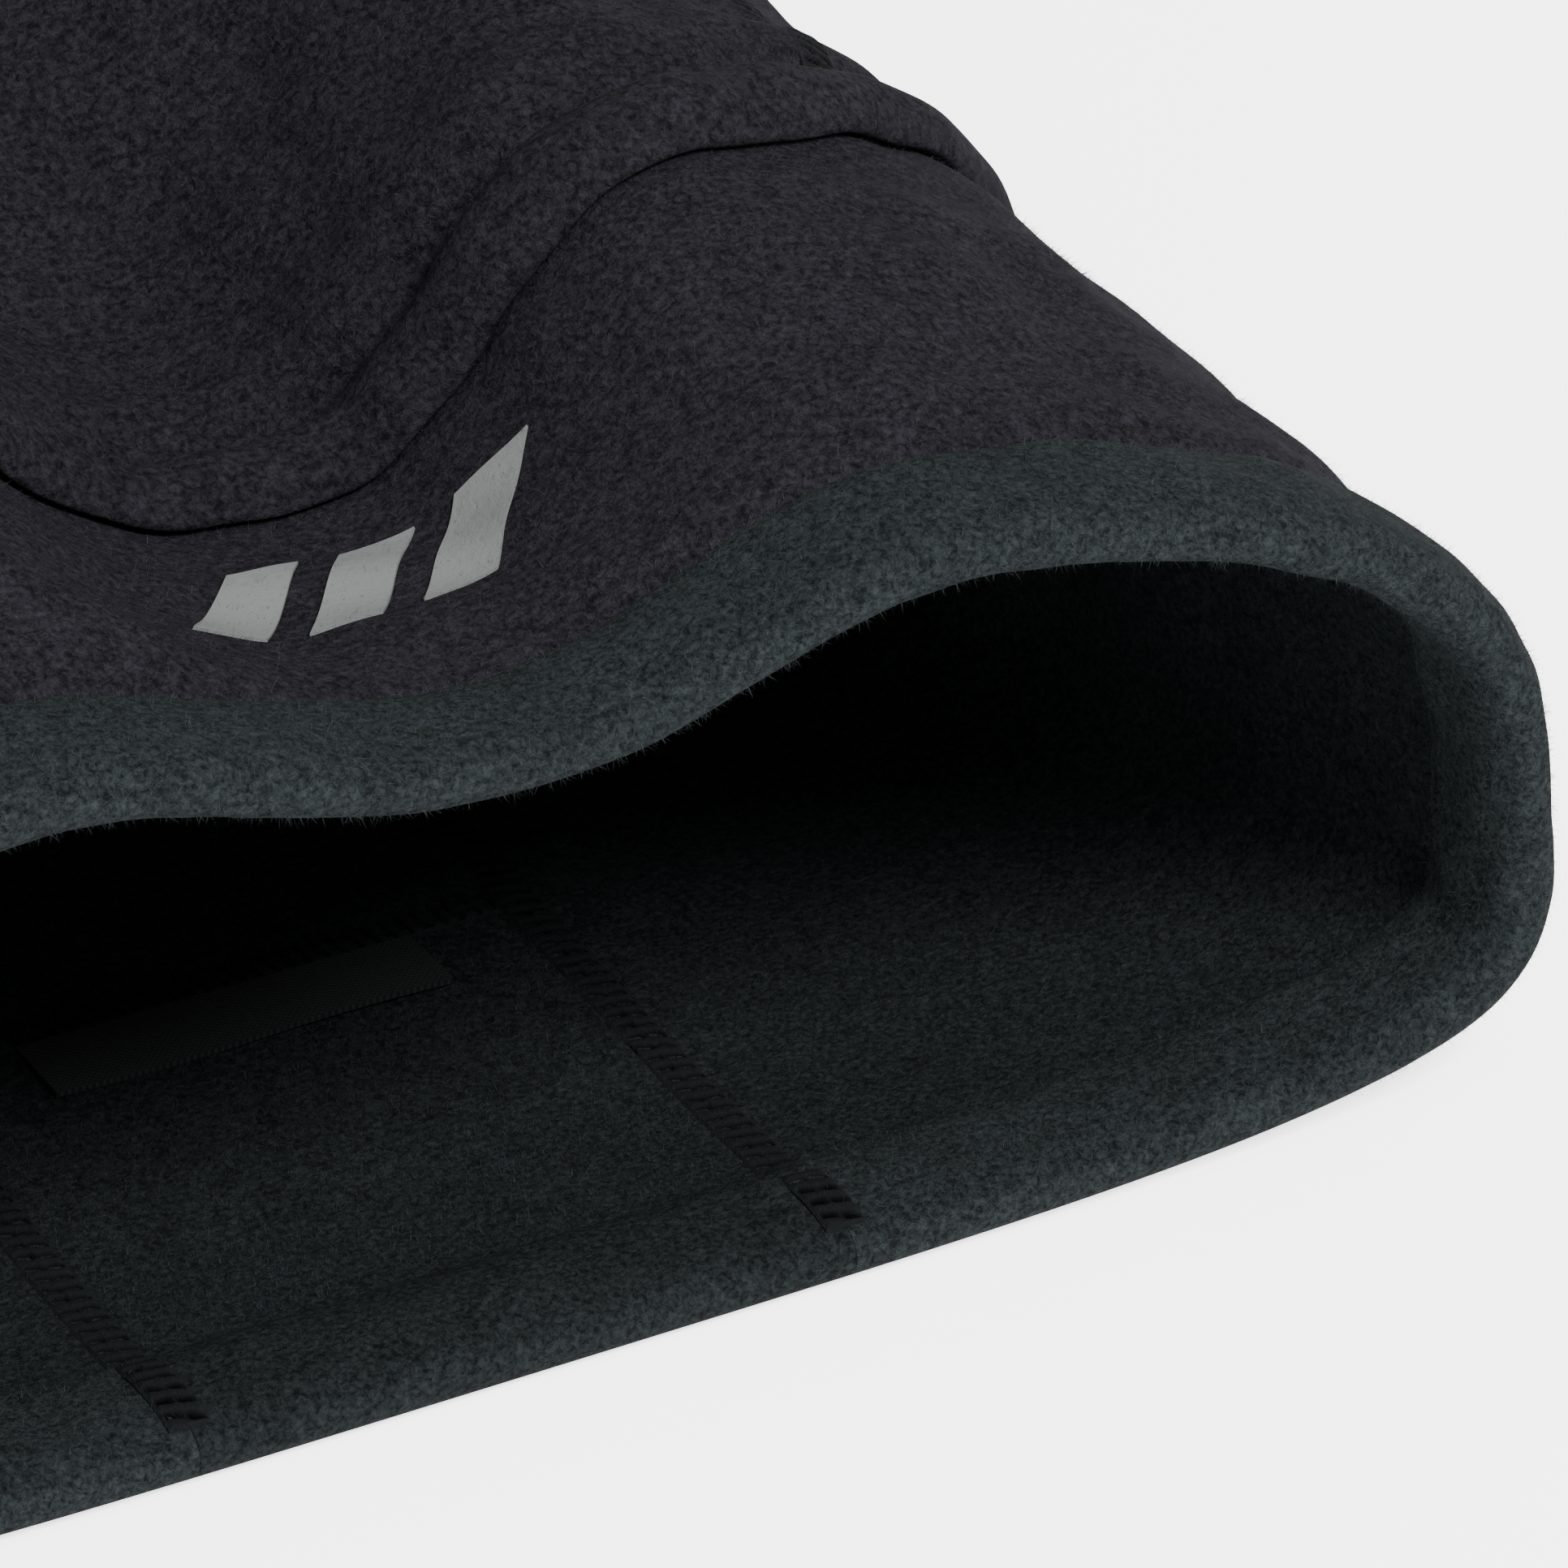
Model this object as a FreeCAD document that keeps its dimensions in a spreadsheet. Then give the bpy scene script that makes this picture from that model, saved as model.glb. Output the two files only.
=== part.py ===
"""Fleece balaclava with a lift-off face mask, lying on its back with the front up.

Millimetres. +Z points out of the front of the garment, +Y from the neck hem to the crown, +X to the
wearer's left. The origin is the middle of the footprint, on the surface that the back lies on.
"""
import FreeCAD, Part
import math
import os

doc = FreeCAD.newDocument("Balaclava")

# ---------------------------------------------------------------------------------------------
# Driving sizes, all in millimetres: (alias, value, what it is)
# ---------------------------------------------------------------------------------------------
SIZES = [
    ("before_hem", 10.0, "how far cutters reach beyond the hem and the floor"),
    ("overall_length", 390.0, "neck hem to crown"),
    ("hem_half_width", 118.0, "half width of the neck at the hem"),
    ("narrow_half_width", 98.5, "half width of the neck at its narrowest"),
    ("hood_half_width", 114.0, "half width at the temples"),
    ("hem_height", 86.0, "height of the neck opening"),
    ("waist_height", 99.5, "height where the mask hem crosses"),
    ("hood_height", 101.0, "height at the cheeks"),
    ("hem_side_height", 28.0, "height of the widest line at the hem"),
    ("hood_side_height", 44.0, "height of the widest line at the hood"),
    ("waist_y", 78.0, "hem to the waist of the neck"),
    ("narrow_y", 125.0, "hem to the narrowest part of the neck"),
    ("temple_y", 235.0, "hem to the full width of the hood"),
    ("cheek_y", 205.0, "hem to the full height of the cheeks"),
    ("dome_length", 100.0, "length of the rounded crown"),
    ("hem_sag", 12.0, "dip of the front at the hem"),
    ("waist_sag", 33.5, "dip of the front under the mask hem"),
    ("sag_width", 32.5, "half width of the dip"),
    ("rest_bite", 0.8, "how far the back is flattened by its own weight"),
    ("hem_lift", 2.2, "how far the turned hem lifts the back of the neck"),
    ("shell_thickness", 1.5, "outer fleece"),
    ("lining_thickness", 1.7, "inner fleece"),
    ("ply_gap", 0.1, "air between two plies"),
    ("seam_gap", 0.3, "gap between two panels at a seam"),
    ("facing_thickness", 1.7, "hem facing"),
    ("hem_depth", 16.0, "height of the turned hem"),
    ("strip_half_width", 36.5, "half width of the centre strip"),
    ("neck_back_y", 78.0, "hem to the seam across the back of the neck"),
    ("neck_front_y", 118.0, "hem to the seam between neck and hood"),
    ("seam_width", 4.6, "width of a ladder seam"),
    ("seam_height", 0.7, "height of a ladder seam"),
    ("opening_bottom_y", 136.0, "hem to the chin edge of the face opening"),
    ("opening_top_y", 300.0, "hem to the brow edge of the face opening"),
    ("opening_half_width", 72.0, "half width of the face opening at the panels"),
    ("binding_width", 8.0, "width of the face opening binding"),
    ("binding_lift", 0.9, "how far the binding stands off each side"),
    ("elastic_width", 5.0, "elastic in the face opening binding"),
    ("elastic_thickness", 1.4, "elastic in the face opening binding"),
    ("mask_clearance", 1.3, "air between the hood and the mask lining"),
    ("mask_lining_thickness", 0.9, "mask lining"),
    ("mask_shell_thickness", 1.2, "mask shell"),
    ("mask_hem_y", 61.0, "hem to the lowest point of the mask hem"),
    ("mask_hem_rise", 33.0, "how much the mask hem climbs at the side"),
    ("mask_hem_width", 12.0, "width of the mask hem band"),
    ("mask_hem_clearance", 0.5, "air between the neck and the mask hem band"),
    ("mask_hem_proud", 0.8, "how far the band stands above the mask shell"),
    ("mask_top_y", 240.0, "hem to the nose edge of the mask"),
    ("mask_top_drop", 50.0, "how much the top edge drops to the wing seam"),
    ("mask_binding_width", 7.0, "binding on the top edge of the mask"),
    ("mask_binding_lift", 0.4, "how far that binding stands off each side"),
    ("nose_height", 16.0, "how far the nose of the mask stands out"),
    ("nose_y", 214.0, "hem to the tip of the nose"),
    ("nose_half_width", 26.0, "half width of the nose"),
    ("nose_half_length", 40.0, "half length of the nose"),
    ("wing_seam_x", 79.0, "centre line to the seam of a mask wing"),
    ("wing_seam_height", 0.4, "how far the wing seam stands off the mask"),
    ("wing_end_z", 50.0, "height of the free end of a wing"),
    ("patch_length", 44.0, "hook and loop patch along the garment"),
    ("patch_y", 128.0, "hem to the near edge of a loop patch"),
    ("patch_low_z", 54.0, "lower edge of a loop patch"),
    ("patch_high_z", 74.0, "upper edge of a loop patch"),
    ("loop_thickness", 0.55, "loop patch"),
    ("hook_thickness", 0.55, "hook patch"),
    ("hook_margin", 1.5, "how much smaller the hook patch is all round"),
    ("breath_hole_radius", 1.7, "breathing hole"),
    ("breath_hole_pitch", 8.0, "spacing of the breathing holes"),
    ("breath_hole_y", 168.0, "hem to the first row of breathing holes"),
    ("label_width", 46.0, "woven label across the back of the neck"),
    ("label_length", 13.0, "woven label below its seam"),
    ("label_thickness", 0.6, "woven label"),
    ("mark_length", 44.0, "reflective transfer across the front of the neck"),
    ("mark_near_y", 34.0, "hem to the near edge of the transfer"),
    ("mark_far_y", 50.0, "hem to the far edge of the transfer"),
    ("mark_thickness", 0.35, "reflective transfer"),
    ("mark_shift", 3.0, "how far the transfer sits to the wearer's left"),
]

sheet = doc.addObject("Spreadsheet::Sheet", "Sizes")
for row, (alias, value, meaning) in enumerate(SIZES, start=1):
    sheet.set("A%d" % row, alias)
    sheet.set("B%d" % row, str(value))
    sheet.setAlias("B%d" % row, alias)
    sheet.set("C%d" % row, meaning)
doc.recompute()


def size(alias):
    """The value of one cell of the sheet."""
    return float(sheet.get(alias))


# ---------------------------------------------------------------------------------------------
# The form: one smooth closed surface round the whole garment, and its offsets
# ---------------------------------------------------------------------------------------------
OUTLINE_POINTS = 44         # points round one section
DENSE_POINTS = 360          # points used to measure a section before it is spaced out
TOP_POWER = 2.6             # how square the front of a section is
BACK_POWER = 4.0            # how square the back of a section is
SAG_POWER = 2.6             # how steep the walls of the front dip are
NECK_STATIONS = [0.0, 0.2, 0.45, 0.72, 1.0]
HOOD_STATIONS = [0.1, 0.2, 0.3, 0.4, 0.5, 0.6, 0.7, 0.85, 1.0]
DOME_ANGLES = [17, 33, 48, 61, 72, 80, 85]
LEAD_IN = 8.0               # the form starts about this far before the hem, and is trimmed there


def ease(value, start, end):
    """0 before start, 1 after end, smooth between them."""
    share = min(1.0, max(0.0, (value - start) / (end - start)))
    return share * share * (3.0 - 2.0 * share)


def half_width(from_hem):
    narrow = size("narrow_half_width") - size("hem_half_width")
    widen = size("hood_half_width") - size("narrow_half_width")
    return (size("hem_half_width") + narrow * ease(from_hem, 0.0, size("narrow_y"))
            + widen * ease(from_hem, size("narrow_y"), size("temple_y")))


def top_height(from_hem):
    fall = size("waist_height") - size("hem_height")
    climb = size("hood_height") - size("waist_height")
    return (size("hem_height") + fall * ease(from_hem, 0.0, size("waist_y"))
            + climb * ease(from_hem, size("waist_y"), size("cheek_y")))


def side_height(from_hem):
    climb = size("hood_side_height") - size("hem_side_height")
    return size("hem_side_height") + climb * ease(from_hem, 0.0, size("cheek_y"))


def sag_depth(from_hem):
    deepen = size("waist_sag") - size("hem_sag")
    depth = size("hem_sag") + deepen * ease(from_hem, 0.0, size("waist_y"))
    return depth * (1.0 - ease(from_hem, size("waist_y"), size("cheek_y")))


def nose_rise(x, from_hem):
    """How far the nose of the mask stands out of the form."""
    across = x / size("nose_half_width")
    along = (from_hem - size("nose_y")) / size("nose_half_length")
    return size("nose_height") * math.exp(-across * across - along * along)


def raw_section(from_hem, nose):
    """Dense outline (x, z) of the outer surface, anticlockwise from the middle of the back."""
    wide = half_width(from_hem)
    high = top_height(from_hem)
    side = side_height(from_hem)
    sag = sag_depth(from_hem)
    low = -size("rest_bite") + size("hem_lift") * (1.0 - ease(from_hem, 0.0, 0.5 * size("waist_y")))
    outline = []
    for step in range(DENSE_POINTS):
        angle = 2.0 * math.pi * step / DENSE_POINTS - 0.5 * math.pi
        power = TOP_POWER if math.sin(angle) > 0 else BACK_POWER
        across = math.copysign(abs(math.cos(angle)) ** (2.0 / power), math.cos(angle))
        up = abs(math.sin(angle)) ** (2.0 / power)
        x = wide * across
        if math.sin(angle) > 0:
            z = side + (high - side) * up
            z -= up * sag * math.exp(-abs(x / size("sag_width")) ** SAG_POWER)
            if nose:
                z += up * nose_rise(x, from_hem)
        else:
            z = side - (side - low) * up
        outline.append((x, z))
    return outline


def offset_outline(outline, offset):
    """The outline moved outwards by offset along its own normals."""
    moved = []
    count = len(outline)
    for index, (x, z) in enumerate(outline):
        before = outline[index - 1]
        after = outline[(index + 1) % count]
        run_x = after[0] - before[0]
        run_z = after[1] - before[1]
        length = math.hypot(run_x, run_z)
        moved.append((x + offset * run_z / length, z - offset * run_x / length))
    return moved


def spaced_outline(outline):
    """The outline as evenly spaced points, starting at the middle of the back."""
    closed = outline + outline[:1]
    travelled = [0.0]
    for first, second in zip(closed, closed[1:]):
        travelled.append(travelled[-1] + math.dist(first, second))
    spaced = []
    index = 0
    for step in range(OUTLINE_POINTS):
        target = travelled[-1] * step / OUTLINE_POINTS
        while travelled[index + 1] < target:
            index += 1
        share = (target - travelled[index]) / (travelled[index + 1] - travelled[index])
        first, second = closed[index], closed[index + 1]
        spaced.append((first[0] + share * (second[0] - first[0]),
                       first[1] + share * (second[1] - first[1])))
    return spaced


def section_wire(points):
    """A closed wire of four curves, with the same knots on every section."""
    quarter = len(points) // 4
    loop = points + points[:1]
    edges = []
    for index in range(4):
        stretch = loop[index * quarter:(index + 1) * quarter + 1]
        curve = Part.BSplineCurve()
        curve.interpolate(Points=stretch, Parameters=[float(knot) for knot in range(quarter + 1)])
        edges.append(curve.toShape())
    return Part.Wire(edges)


def to_row(from_hem):
    """A distance from the hem as a y in the garment's own frame."""
    return from_hem - 0.5 * size("overall_length")


def form_solid(offset, nose):
    """The closed form, offset outwards, from before the hem to the crown."""
    dome_start = size("overall_length") - size("dome_length")
    stations = [-LEAD_IN - 0.5 * offset]
    for share in NECK_STATIONS:
        stations.append(share * size("waist_y"))
    for share in HOOD_STATIONS:
        stations.append(size("waist_y") + share * (dome_start - size("waist_y")))
    wires = []
    for from_hem in stations:
        outline = spaced_outline(offset_outline(raw_section(max(from_hem, 0.0), nose), offset))
        wires.append(section_wire([FreeCAD.Vector(x, to_row(from_hem), z) for x, z in outline]))
    base = spaced_outline(offset_outline(raw_section(dome_start, nose), offset))
    middle = side_height(dome_start)
    for degrees in DOME_ANGLES:
        shrink = math.cos(math.radians(degrees))
        reach = (size("dome_length") + offset) * math.sin(math.radians(degrees))
        reach /= math.sin(math.radians(DOME_ANGLES[-1]))
        wires.append(section_wire([FreeCAD.Vector(shrink * x, to_row(dome_start + reach),
                                                  middle + shrink * (z - middle)) for x, z in base]))
    return Part.makeLoft(wires, True, True)


def feature(label, shape):
    """A Part::Feature that holds a shape made from the sheet's sizes."""
    made = doc.addObject("Part::Feature", label)
    made.Label = label
    made.Shape = shape
    made.Placement = FreeCAD.Placement()
    return made


# ---------------------------------------------------------------------------------------------
# Small builders: bound boxes, cutters and booleans as document objects
# ---------------------------------------------------------------------------------------------
FAR = "Sizes.overall_length"
TO_ROW = "- Sizes.overall_length / 2"


def bound_box(label, low, high):
    """A box between two corners given as expressions, with y counted from the hem."""
    made = doc.addObject("Part::Box", label)
    made.Label = label
    for side, first, last in zip(("Length", "Width", "Height"), low, high):
        made.setExpression(side, "(%s) - (%s)" % (last, first))
    made.setExpression(".Placement.Base.x", low[0])
    made.setExpression(".Placement.Base.y", "(%s) %s" % (low[1], TO_ROW))
    made.setExpression(".Placement.Base.z", low[2])
    return made


def without(label, base, tool):
    made = doc.addObject("Part::Cut", label)
    made.Label = label
    made.Base = base
    made.Tool = tool
    return made


def overlap(label, first, second):
    made = doc.addObject("Part::Common", label)
    made.Label = label
    made.Base = first
    made.Tool = second
    return made


def joined(label, shapes):
    made = doc.addObject("Part::MultiFuse", label)
    made.Label = label
    made.Shapes = shapes
    return made


forms = {}


def form(offset, nose):
    """The form at an offset, made once and shared by the layers that use it."""
    key = (round(offset, 4), nose)
    if key not in forms:
        forms[key] = form_solid(offset, nose)
    return forms[key]


def layer(label, outer, inner, nose=False):
    """The hollow layer between two offsets of the form, closed at the crown and before the hem."""
    outside = form(outer, nose).Shells[0]
    inside = form(inner, nose).Shells[0]
    return feature(label, Part.makeSolid(Part.makeCompound([outside, inside.reversed()])))


def mask_hem_edge(shift):
    """The lower edge of the mask in plan: a parabola, lowest in the middle."""
    reach = size("hem_half_width") + LEAD_IN
    rise = size("mask_hem_rise") * (reach / size("hem_half_width")) ** 2
    curve = Part.BezierCurve()
    start = to_row(size("mask_hem_y") + shift)
    curve.setPoles([FreeCAD.Vector(-reach, start + rise, 0), FreeCAD.Vector(0, start - rise, 0),
                    FreeCAD.Vector(reach, start + rise, 0)])
    return curve.toShape()


TOP_EDGE_POINTS = 13
TOP_EDGE_SPREAD = 0.7       # width of the hump, as a share of the distance to the wing seam


def mask_top_edge(shift):
    """The nose edge of the mask in plan: a smooth hump that falls away to the wings."""
    reach = size("hem_half_width") + LEAD_IN
    spread = TOP_EDGE_SPREAD * size("wing_seam_x")
    points = []
    for step in range(TOP_EDGE_POINTS):
        x = reach * (1.0 - 2.0 * step / (TOP_EDGE_POINTS - 1))
        fall = size("mask_top_drop") * (1.0 - math.exp(-(x / spread) ** 2))
        points.append(FreeCAD.Vector(x, to_row(size("mask_top_y") - fall + shift), 0))
    curve = Part.BSplineCurve()
    curve.interpolate(points)
    return curve.toShape()


def prism(label, edges):
    """A tall prism over a closed outline of edges in plan, for cutting layers to shape."""
    wire = Part.Wire(Part.__sortEdges__(edges))
    face = Part.Face(wire)
    tall = 2.0 * size("hood_height")
    return feature(label, face.extrude(FreeCAD.Vector(0, 0, tall)))


def between(label, lower, upper):
    """The prism between a lower and an upper plan edge that run right across the garment."""
    right = Part.LineSegment(lower.valueAt(lower.LastParameter), upper.valueAt(upper.FirstParameter))
    left = Part.LineSegment(upper.valueAt(upper.LastParameter), lower.valueAt(lower.FirstParameter))
    return prism(label, [lower, right.toShape(), upper, left.toShape()])


def reversed_edge(edge):
    """The same edge run the other way, so that an outline closes in order."""
    curve = edge.Curve.copy()
    curve.reverse()
    return curve.toShape()


def opening_prism(label, shrink):
    """An elliptical prism for the face opening, smaller all round by an expression."""
    outline = doc.addObject("Part::Ellipse", label + "_outline")
    outline.Label = label + "_outline"
    half_length = "(Sizes.opening_top_y - Sizes.opening_bottom_y) / 2 - (%s)" % shrink
    outline.setExpression("MajorRadius", half_length)
    outline.setExpression("MinorRadius", "Sizes.opening_half_width - (%s)" % shrink)
    outline.Placement.Rotation = FreeCAD.Rotation(FreeCAD.Vector(0, 0, 1), 90)
    outline.setExpression(".Placement.Base.y",
                          "(Sizes.opening_top_y + Sizes.opening_bottom_y) / 2 " + TO_ROW)
    outline.setExpression(".Placement.Base.z", "Sizes.hood_side_height")
    made = doc.addObject("Part::Extrusion", label)
    made.Label = label
    made.Base = outline
    made.Dir = FreeCAD.Vector(0, 0, 1)
    made.setExpression("LengthFwd", "Sizes.hood_height * 2")
    made.Solid = True
    return made


# ---------------------------------------------------------------------------------------------
# Depths of the plies below the outer surface of the hood
# ---------------------------------------------------------------------------------------------
SHELL_INSIDE = -size("shell_thickness")
LINING_OUTSIDE = SHELL_INSIDE - size("ply_gap")
LINING_INSIDE = LINING_OUTSIDE - size("lining_thickness")
FACING_OUTSIDE = size("ply_gap") + size("facing_thickness")
FACING_INSIDE = LINING_INSIDE - size("ply_gap") - size("facing_thickness")
MASK_LINING_OUTSIDE = size("mask_clearance") + size("mask_lining_thickness")
MASK_SHELL_INSIDE = MASK_LINING_OUTSIDE + size("ply_gap")
MASK_SHELL_OUTSIDE = MASK_SHELL_INSIDE + size("mask_shell_thickness")
MASK_BAND_OUTSIDE = MASK_SHELL_OUTSIDE + size("mask_hem_proud")
WIDE = "(Sizes.hem_half_width * 1.5)"
TALL = "(Sizes.hood_height * 2)"
SPLIT = "Sizes.hood_side_height"
BEFORE = "-Sizes.before_hem"
HALF_SEAM = "Sizes.seam_gap / 2"
RIM = "(Sizes.facing_thickness + Sizes.ply_gap)"

pieces = []


def piece(label, made):
    """Names a finished sub-part, which is written to a file of its own."""
    made.Label = label
    pieces.append(made)
    return made


# ---------------------------------------------------------------------------------------------
# Hood panels
# ---------------------------------------------------------------------------------------------
def strip_zone(label, half, from_hem, to_hem):
    """Where the centre strip runs: the back, the crown and the brow above the face opening."""
    back = bound_box(label + "_back", ("-(%s)" % half, from_hem, "0"), (half, to_hem, SPLIT))
    if to_hem != FAR:
        return back
    brow_start = "(Sizes.opening_bottom_y + Sizes.opening_top_y) / 2"
    brow = bound_box(label + "_brow", ("-(%s)" % half, brow_start, SPLIT), (half, FAR, TALL))
    return joined(label, [back, brow])


shell_layer = layer("shell_layer", 0.0, SHELL_INSIDE)
lining_layer = layer("lining_layer", LINING_OUTSIDE, LINING_INSIDE)
plies = {"shell": shell_layer, "lining": lining_layer}
opening = opening_prism("face_opening_cutter", "0")
strip_half = "Sizes.strip_half_width - " + HALF_SEAM
strip_slot = strip_zone("strip_slot", "Sizes.strip_half_width + " + HALF_SEAM, BEFORE, FAR)
neck_strip_zone = strip_zone("neck_strip_zone", strip_half, RIM, "Sizes.neck_back_y - " + HALF_SEAM)
crown_strip_zone = strip_zone("crown_strip_zone", strip_half, "Sizes.neck_back_y + " + HALF_SEAM, FAR)
neck_zone = bound_box("neck_zone", ("-" + WIDE, RIM, "0"),
                      (WIDE, "Sizes.neck_front_y - " + HALF_SEAM, TALL))
neck_wrap_zone = without("neck_wrap_zone", neck_zone, strip_slot)
side_zones = {
    "left": bound_box("side_zone_left", (HALF_SEAM, "Sizes.neck_front_y + " + HALF_SEAM, "0"),
                      (WIDE, FAR, TALL)),
    "right": bound_box("side_zone_right", ("-" + WIDE, "Sizes.neck_front_y + " + HALF_SEAM, "0"),
                       ("-" + HALF_SEAM, FAR, TALL)),
}
for ply, ply_layer in plies.items():
    piece("neck_strip_" + ply, overlap("neck_strip_" + ply, ply_layer, neck_strip_zone))
    crown = overlap("crown_whole_" + ply, ply_layer, crown_strip_zone)
    piece("crown_strip_" + ply, without("crown_strip_" + ply, crown, opening))
    piece("neck_panel_" + ply, overlap("neck_panel_" + ply, ply_layer, neck_wrap_zone))
    for hand, zone in side_zones.items():
        side = overlap("side_whole_%s_%s" % (hand, ply), ply_layer, zone)
        side = without("side_slotted_%s_%s" % (hand, ply), side, strip_slot)
        name = "side_panel_%s_%s" % (hand, ply)
        piece(name, without(name, side, opening))


# ---------------------------------------------------------------------------------------------
# Turned hem at the neck, with its own coarse seams inside
# ---------------------------------------------------------------------------------------------
def hem_facing():
    body = layer("facing_body", FACING_OUTSIDE, FACING_INSIDE)
    core = layer("facing_core", size("ply_gap"), LINING_INSIDE - size("ply_gap"))
    slab = bound_box("facing_slab", ("-" + WIDE, "0", "0"), (WIDE, "Sizes.hem_depth", TALL))
    deep = bound_box("facing_deep", ("-" + WIDE, "Sizes.facing_thickness", BEFORE),
                     (WIDE, "Sizes.hem_depth * 2", TALL))
    ring = overlap("facing_ring", body, slab)
    pocket = overlap("facing_pocket", core, deep)
    turned = without("facing_turned", ring, pocket)
    back = bound_box("facing_back_zone", ("-(%s)" % strip_half, BEFORE, "0"),
                     (strip_half, "Sizes.hem_depth * 2", SPLIT))
    piece("hem_facing_back", overlap("hem_facing_back", turned, back))
    piece("hem_facing_front", without("hem_facing_front", turned, strip_slot))


hem_facing()

SEAM_OUTSIDE = LINING_INSIDE - 0.5 * size("ply_gap")
SEAM_INSIDE = SEAM_OUTSIDE - size("seam_height")
HEM_SEAM_OUTSIDE = FACING_INSIDE - 0.5 * size("ply_gap")
seam_layer = layer("seam_layer", SEAM_OUTSIDE, SEAM_INSIDE)
hem_seam_layer = layer("hem_seam_layer", HEM_SEAM_OUTSIDE, HEM_SEAM_OUTSIDE - size("seam_height"))
HALF_LADDER = "Sizes.seam_width / 2"
HANDS = {"left": 1, "right": -1}


def beside(hand, near, far):
    """Lowest and highest x of a zone that lies between two distances from the centre line."""
    if HANDS[hand] > 0:
        return near, far
    return "-(%s)" % far, "-(%s)" % near


def ladder_seams():
    near = "Sizes.strip_half_width - " + HALF_LADDER
    far = "Sizes.strip_half_width + " + HALF_LADDER
    for hand in HANDS:
        low, high = beside(hand, near, far)
        start = "Sizes.hem_depth + Sizes.ply_gap"
        back = bound_box("strip_seam_back_" + hand, (low, start, "0"), (high, FAR, SPLIT))
        brow = bound_box("strip_seam_brow_" + hand,
                         (low, "(Sizes.opening_bottom_y + Sizes.opening_top_y) / 2", SPLIT),
                         (high, FAR, TALL))
        run = overlap("strip_seam_run_" + hand, seam_layer,
                      joined("strip_seam_zone_" + hand, [back, brow]))
        piece("strip_seam_" + hand, without("strip_seam_" + hand, run, opening))
        hem = bound_box("hem_seam_zone_" + hand, (low, RIM, "0"), (high, "Sizes.hem_depth", SPLIT))
        piece("hem_seam_" + hand, overlap("hem_seam_" + hand, hem_seam_layer, hem))
    inner = near + " - Sizes.seam_gap"
    across = bound_box("neck_back_seam_zone",
                       ("-(%s)" % inner, "Sizes.neck_back_y - " + HALF_LADDER, "0"),
                       (inner, "Sizes.neck_back_y + " + HALF_LADDER, SPLIT))
    piece("neck_back_seam", overlap("neck_back_seam", seam_layer, across))
    ring = bound_box("neck_front_seam_ring",
                     ("-" + WIDE, "Sizes.neck_front_y - " + HALF_LADDER, "0"),
                     (WIDE, "Sizes.neck_front_y + " + HALF_LADDER, TALL))
    outer = far + " + Sizes.seam_gap"
    skip = bound_box("neck_front_seam_skip", ("-(%s)" % outer, "0", BEFORE), (outer, FAR, SPLIT))
    piece("neck_front_seam", overlap("neck_front_seam", seam_layer,
                                     without("neck_front_seam_zone", ring, skip)))
    chin = bound_box("chin_seam_zone",
                     ("-" + HALF_LADDER,
                      "Sizes.neck_front_y + Sizes.seam_width / 2 + Sizes.seam_gap", SPLIT),
                     (HALF_LADDER, "(Sizes.opening_bottom_y + Sizes.opening_top_y) / 2", TALL))
    piece("chin_seam", without("chin_seam", overlap("chin_seam_run", seam_layer, chin), opening))


ladder_seams()


# ---------------------------------------------------------------------------------------------
# Face opening: a folded knit binding with an elastic sealed inside it
# ---------------------------------------------------------------------------------------------
def face_opening_edge():
    lift = size("binding_lift")
    outer = opening_prism("binding_outline", "Sizes.seam_gap")
    inner = opening_prism("binding_inner_outline", "Sizes.binding_width + Sizes.seam_gap")
    ring = without("binding_ring", outer, inner)
    body = overlap("binding_body", layer("binding_layer", lift, LINING_INSIDE - lift), ring)
    middle = 0.5 * LINING_INSIDE
    half = 0.5 * size("elastic_thickness")
    margin = "(Sizes.binding_width - Sizes.elastic_width) / 2"
    band_outer = opening_prism("elastic_outline", "Sizes.seam_gap + " + margin)
    band_inner = opening_prism("elastic_inner_outline",
                               "Sizes.seam_gap + Sizes.elastic_width + " + margin)
    band = without("elastic_ring", band_outer, band_inner)
    elastic = overlap("face_opening_elastic",
                      layer("elastic_layer", middle + half, middle - half), band)
    piece("face_opening_elastic", elastic)
    gap = size("ply_gap")
    room_outer = opening_prism("room_outline", "Sizes.seam_gap - Sizes.ply_gap + " + margin)
    room_inner = opening_prism("room_inner_outline",
                               "Sizes.seam_gap + Sizes.ply_gap + Sizes.elastic_width + " + margin)
    room = overlap("elastic_room", layer("room_layer", middle + half + gap, middle - half - gap),
                   without("room_ring", room_outer, room_inner))
    piece("face_opening_binding", without("face_opening_binding", body, room))


face_opening_edge()


# ---------------------------------------------------------------------------------------------
# Label inside, transfer outside, and the loop patches
# ---------------------------------------------------------------------------------------------
def neck_label():
    outside = LINING_INSIDE - 0.5 * size("ply_gap")
    zone = bound_box("label_zone",
                     ("-Sizes.label_width / 2",
                      "Sizes.neck_back_y - Sizes.label_length", "0"),
                     ("Sizes.label_width / 2",
                      "Sizes.neck_back_y - Sizes.seam_width / 2 - Sizes.ply_gap", SPLIT))
    piece("neck_label", overlap("neck_label", layer("label_layer", outside,
                                                    outside - size("label_thickness")), zone))


MARK_BARS = 3
MARK_BAR_SHARE = 0.64       # how much of the pitch one bar of the transfer takes


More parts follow.
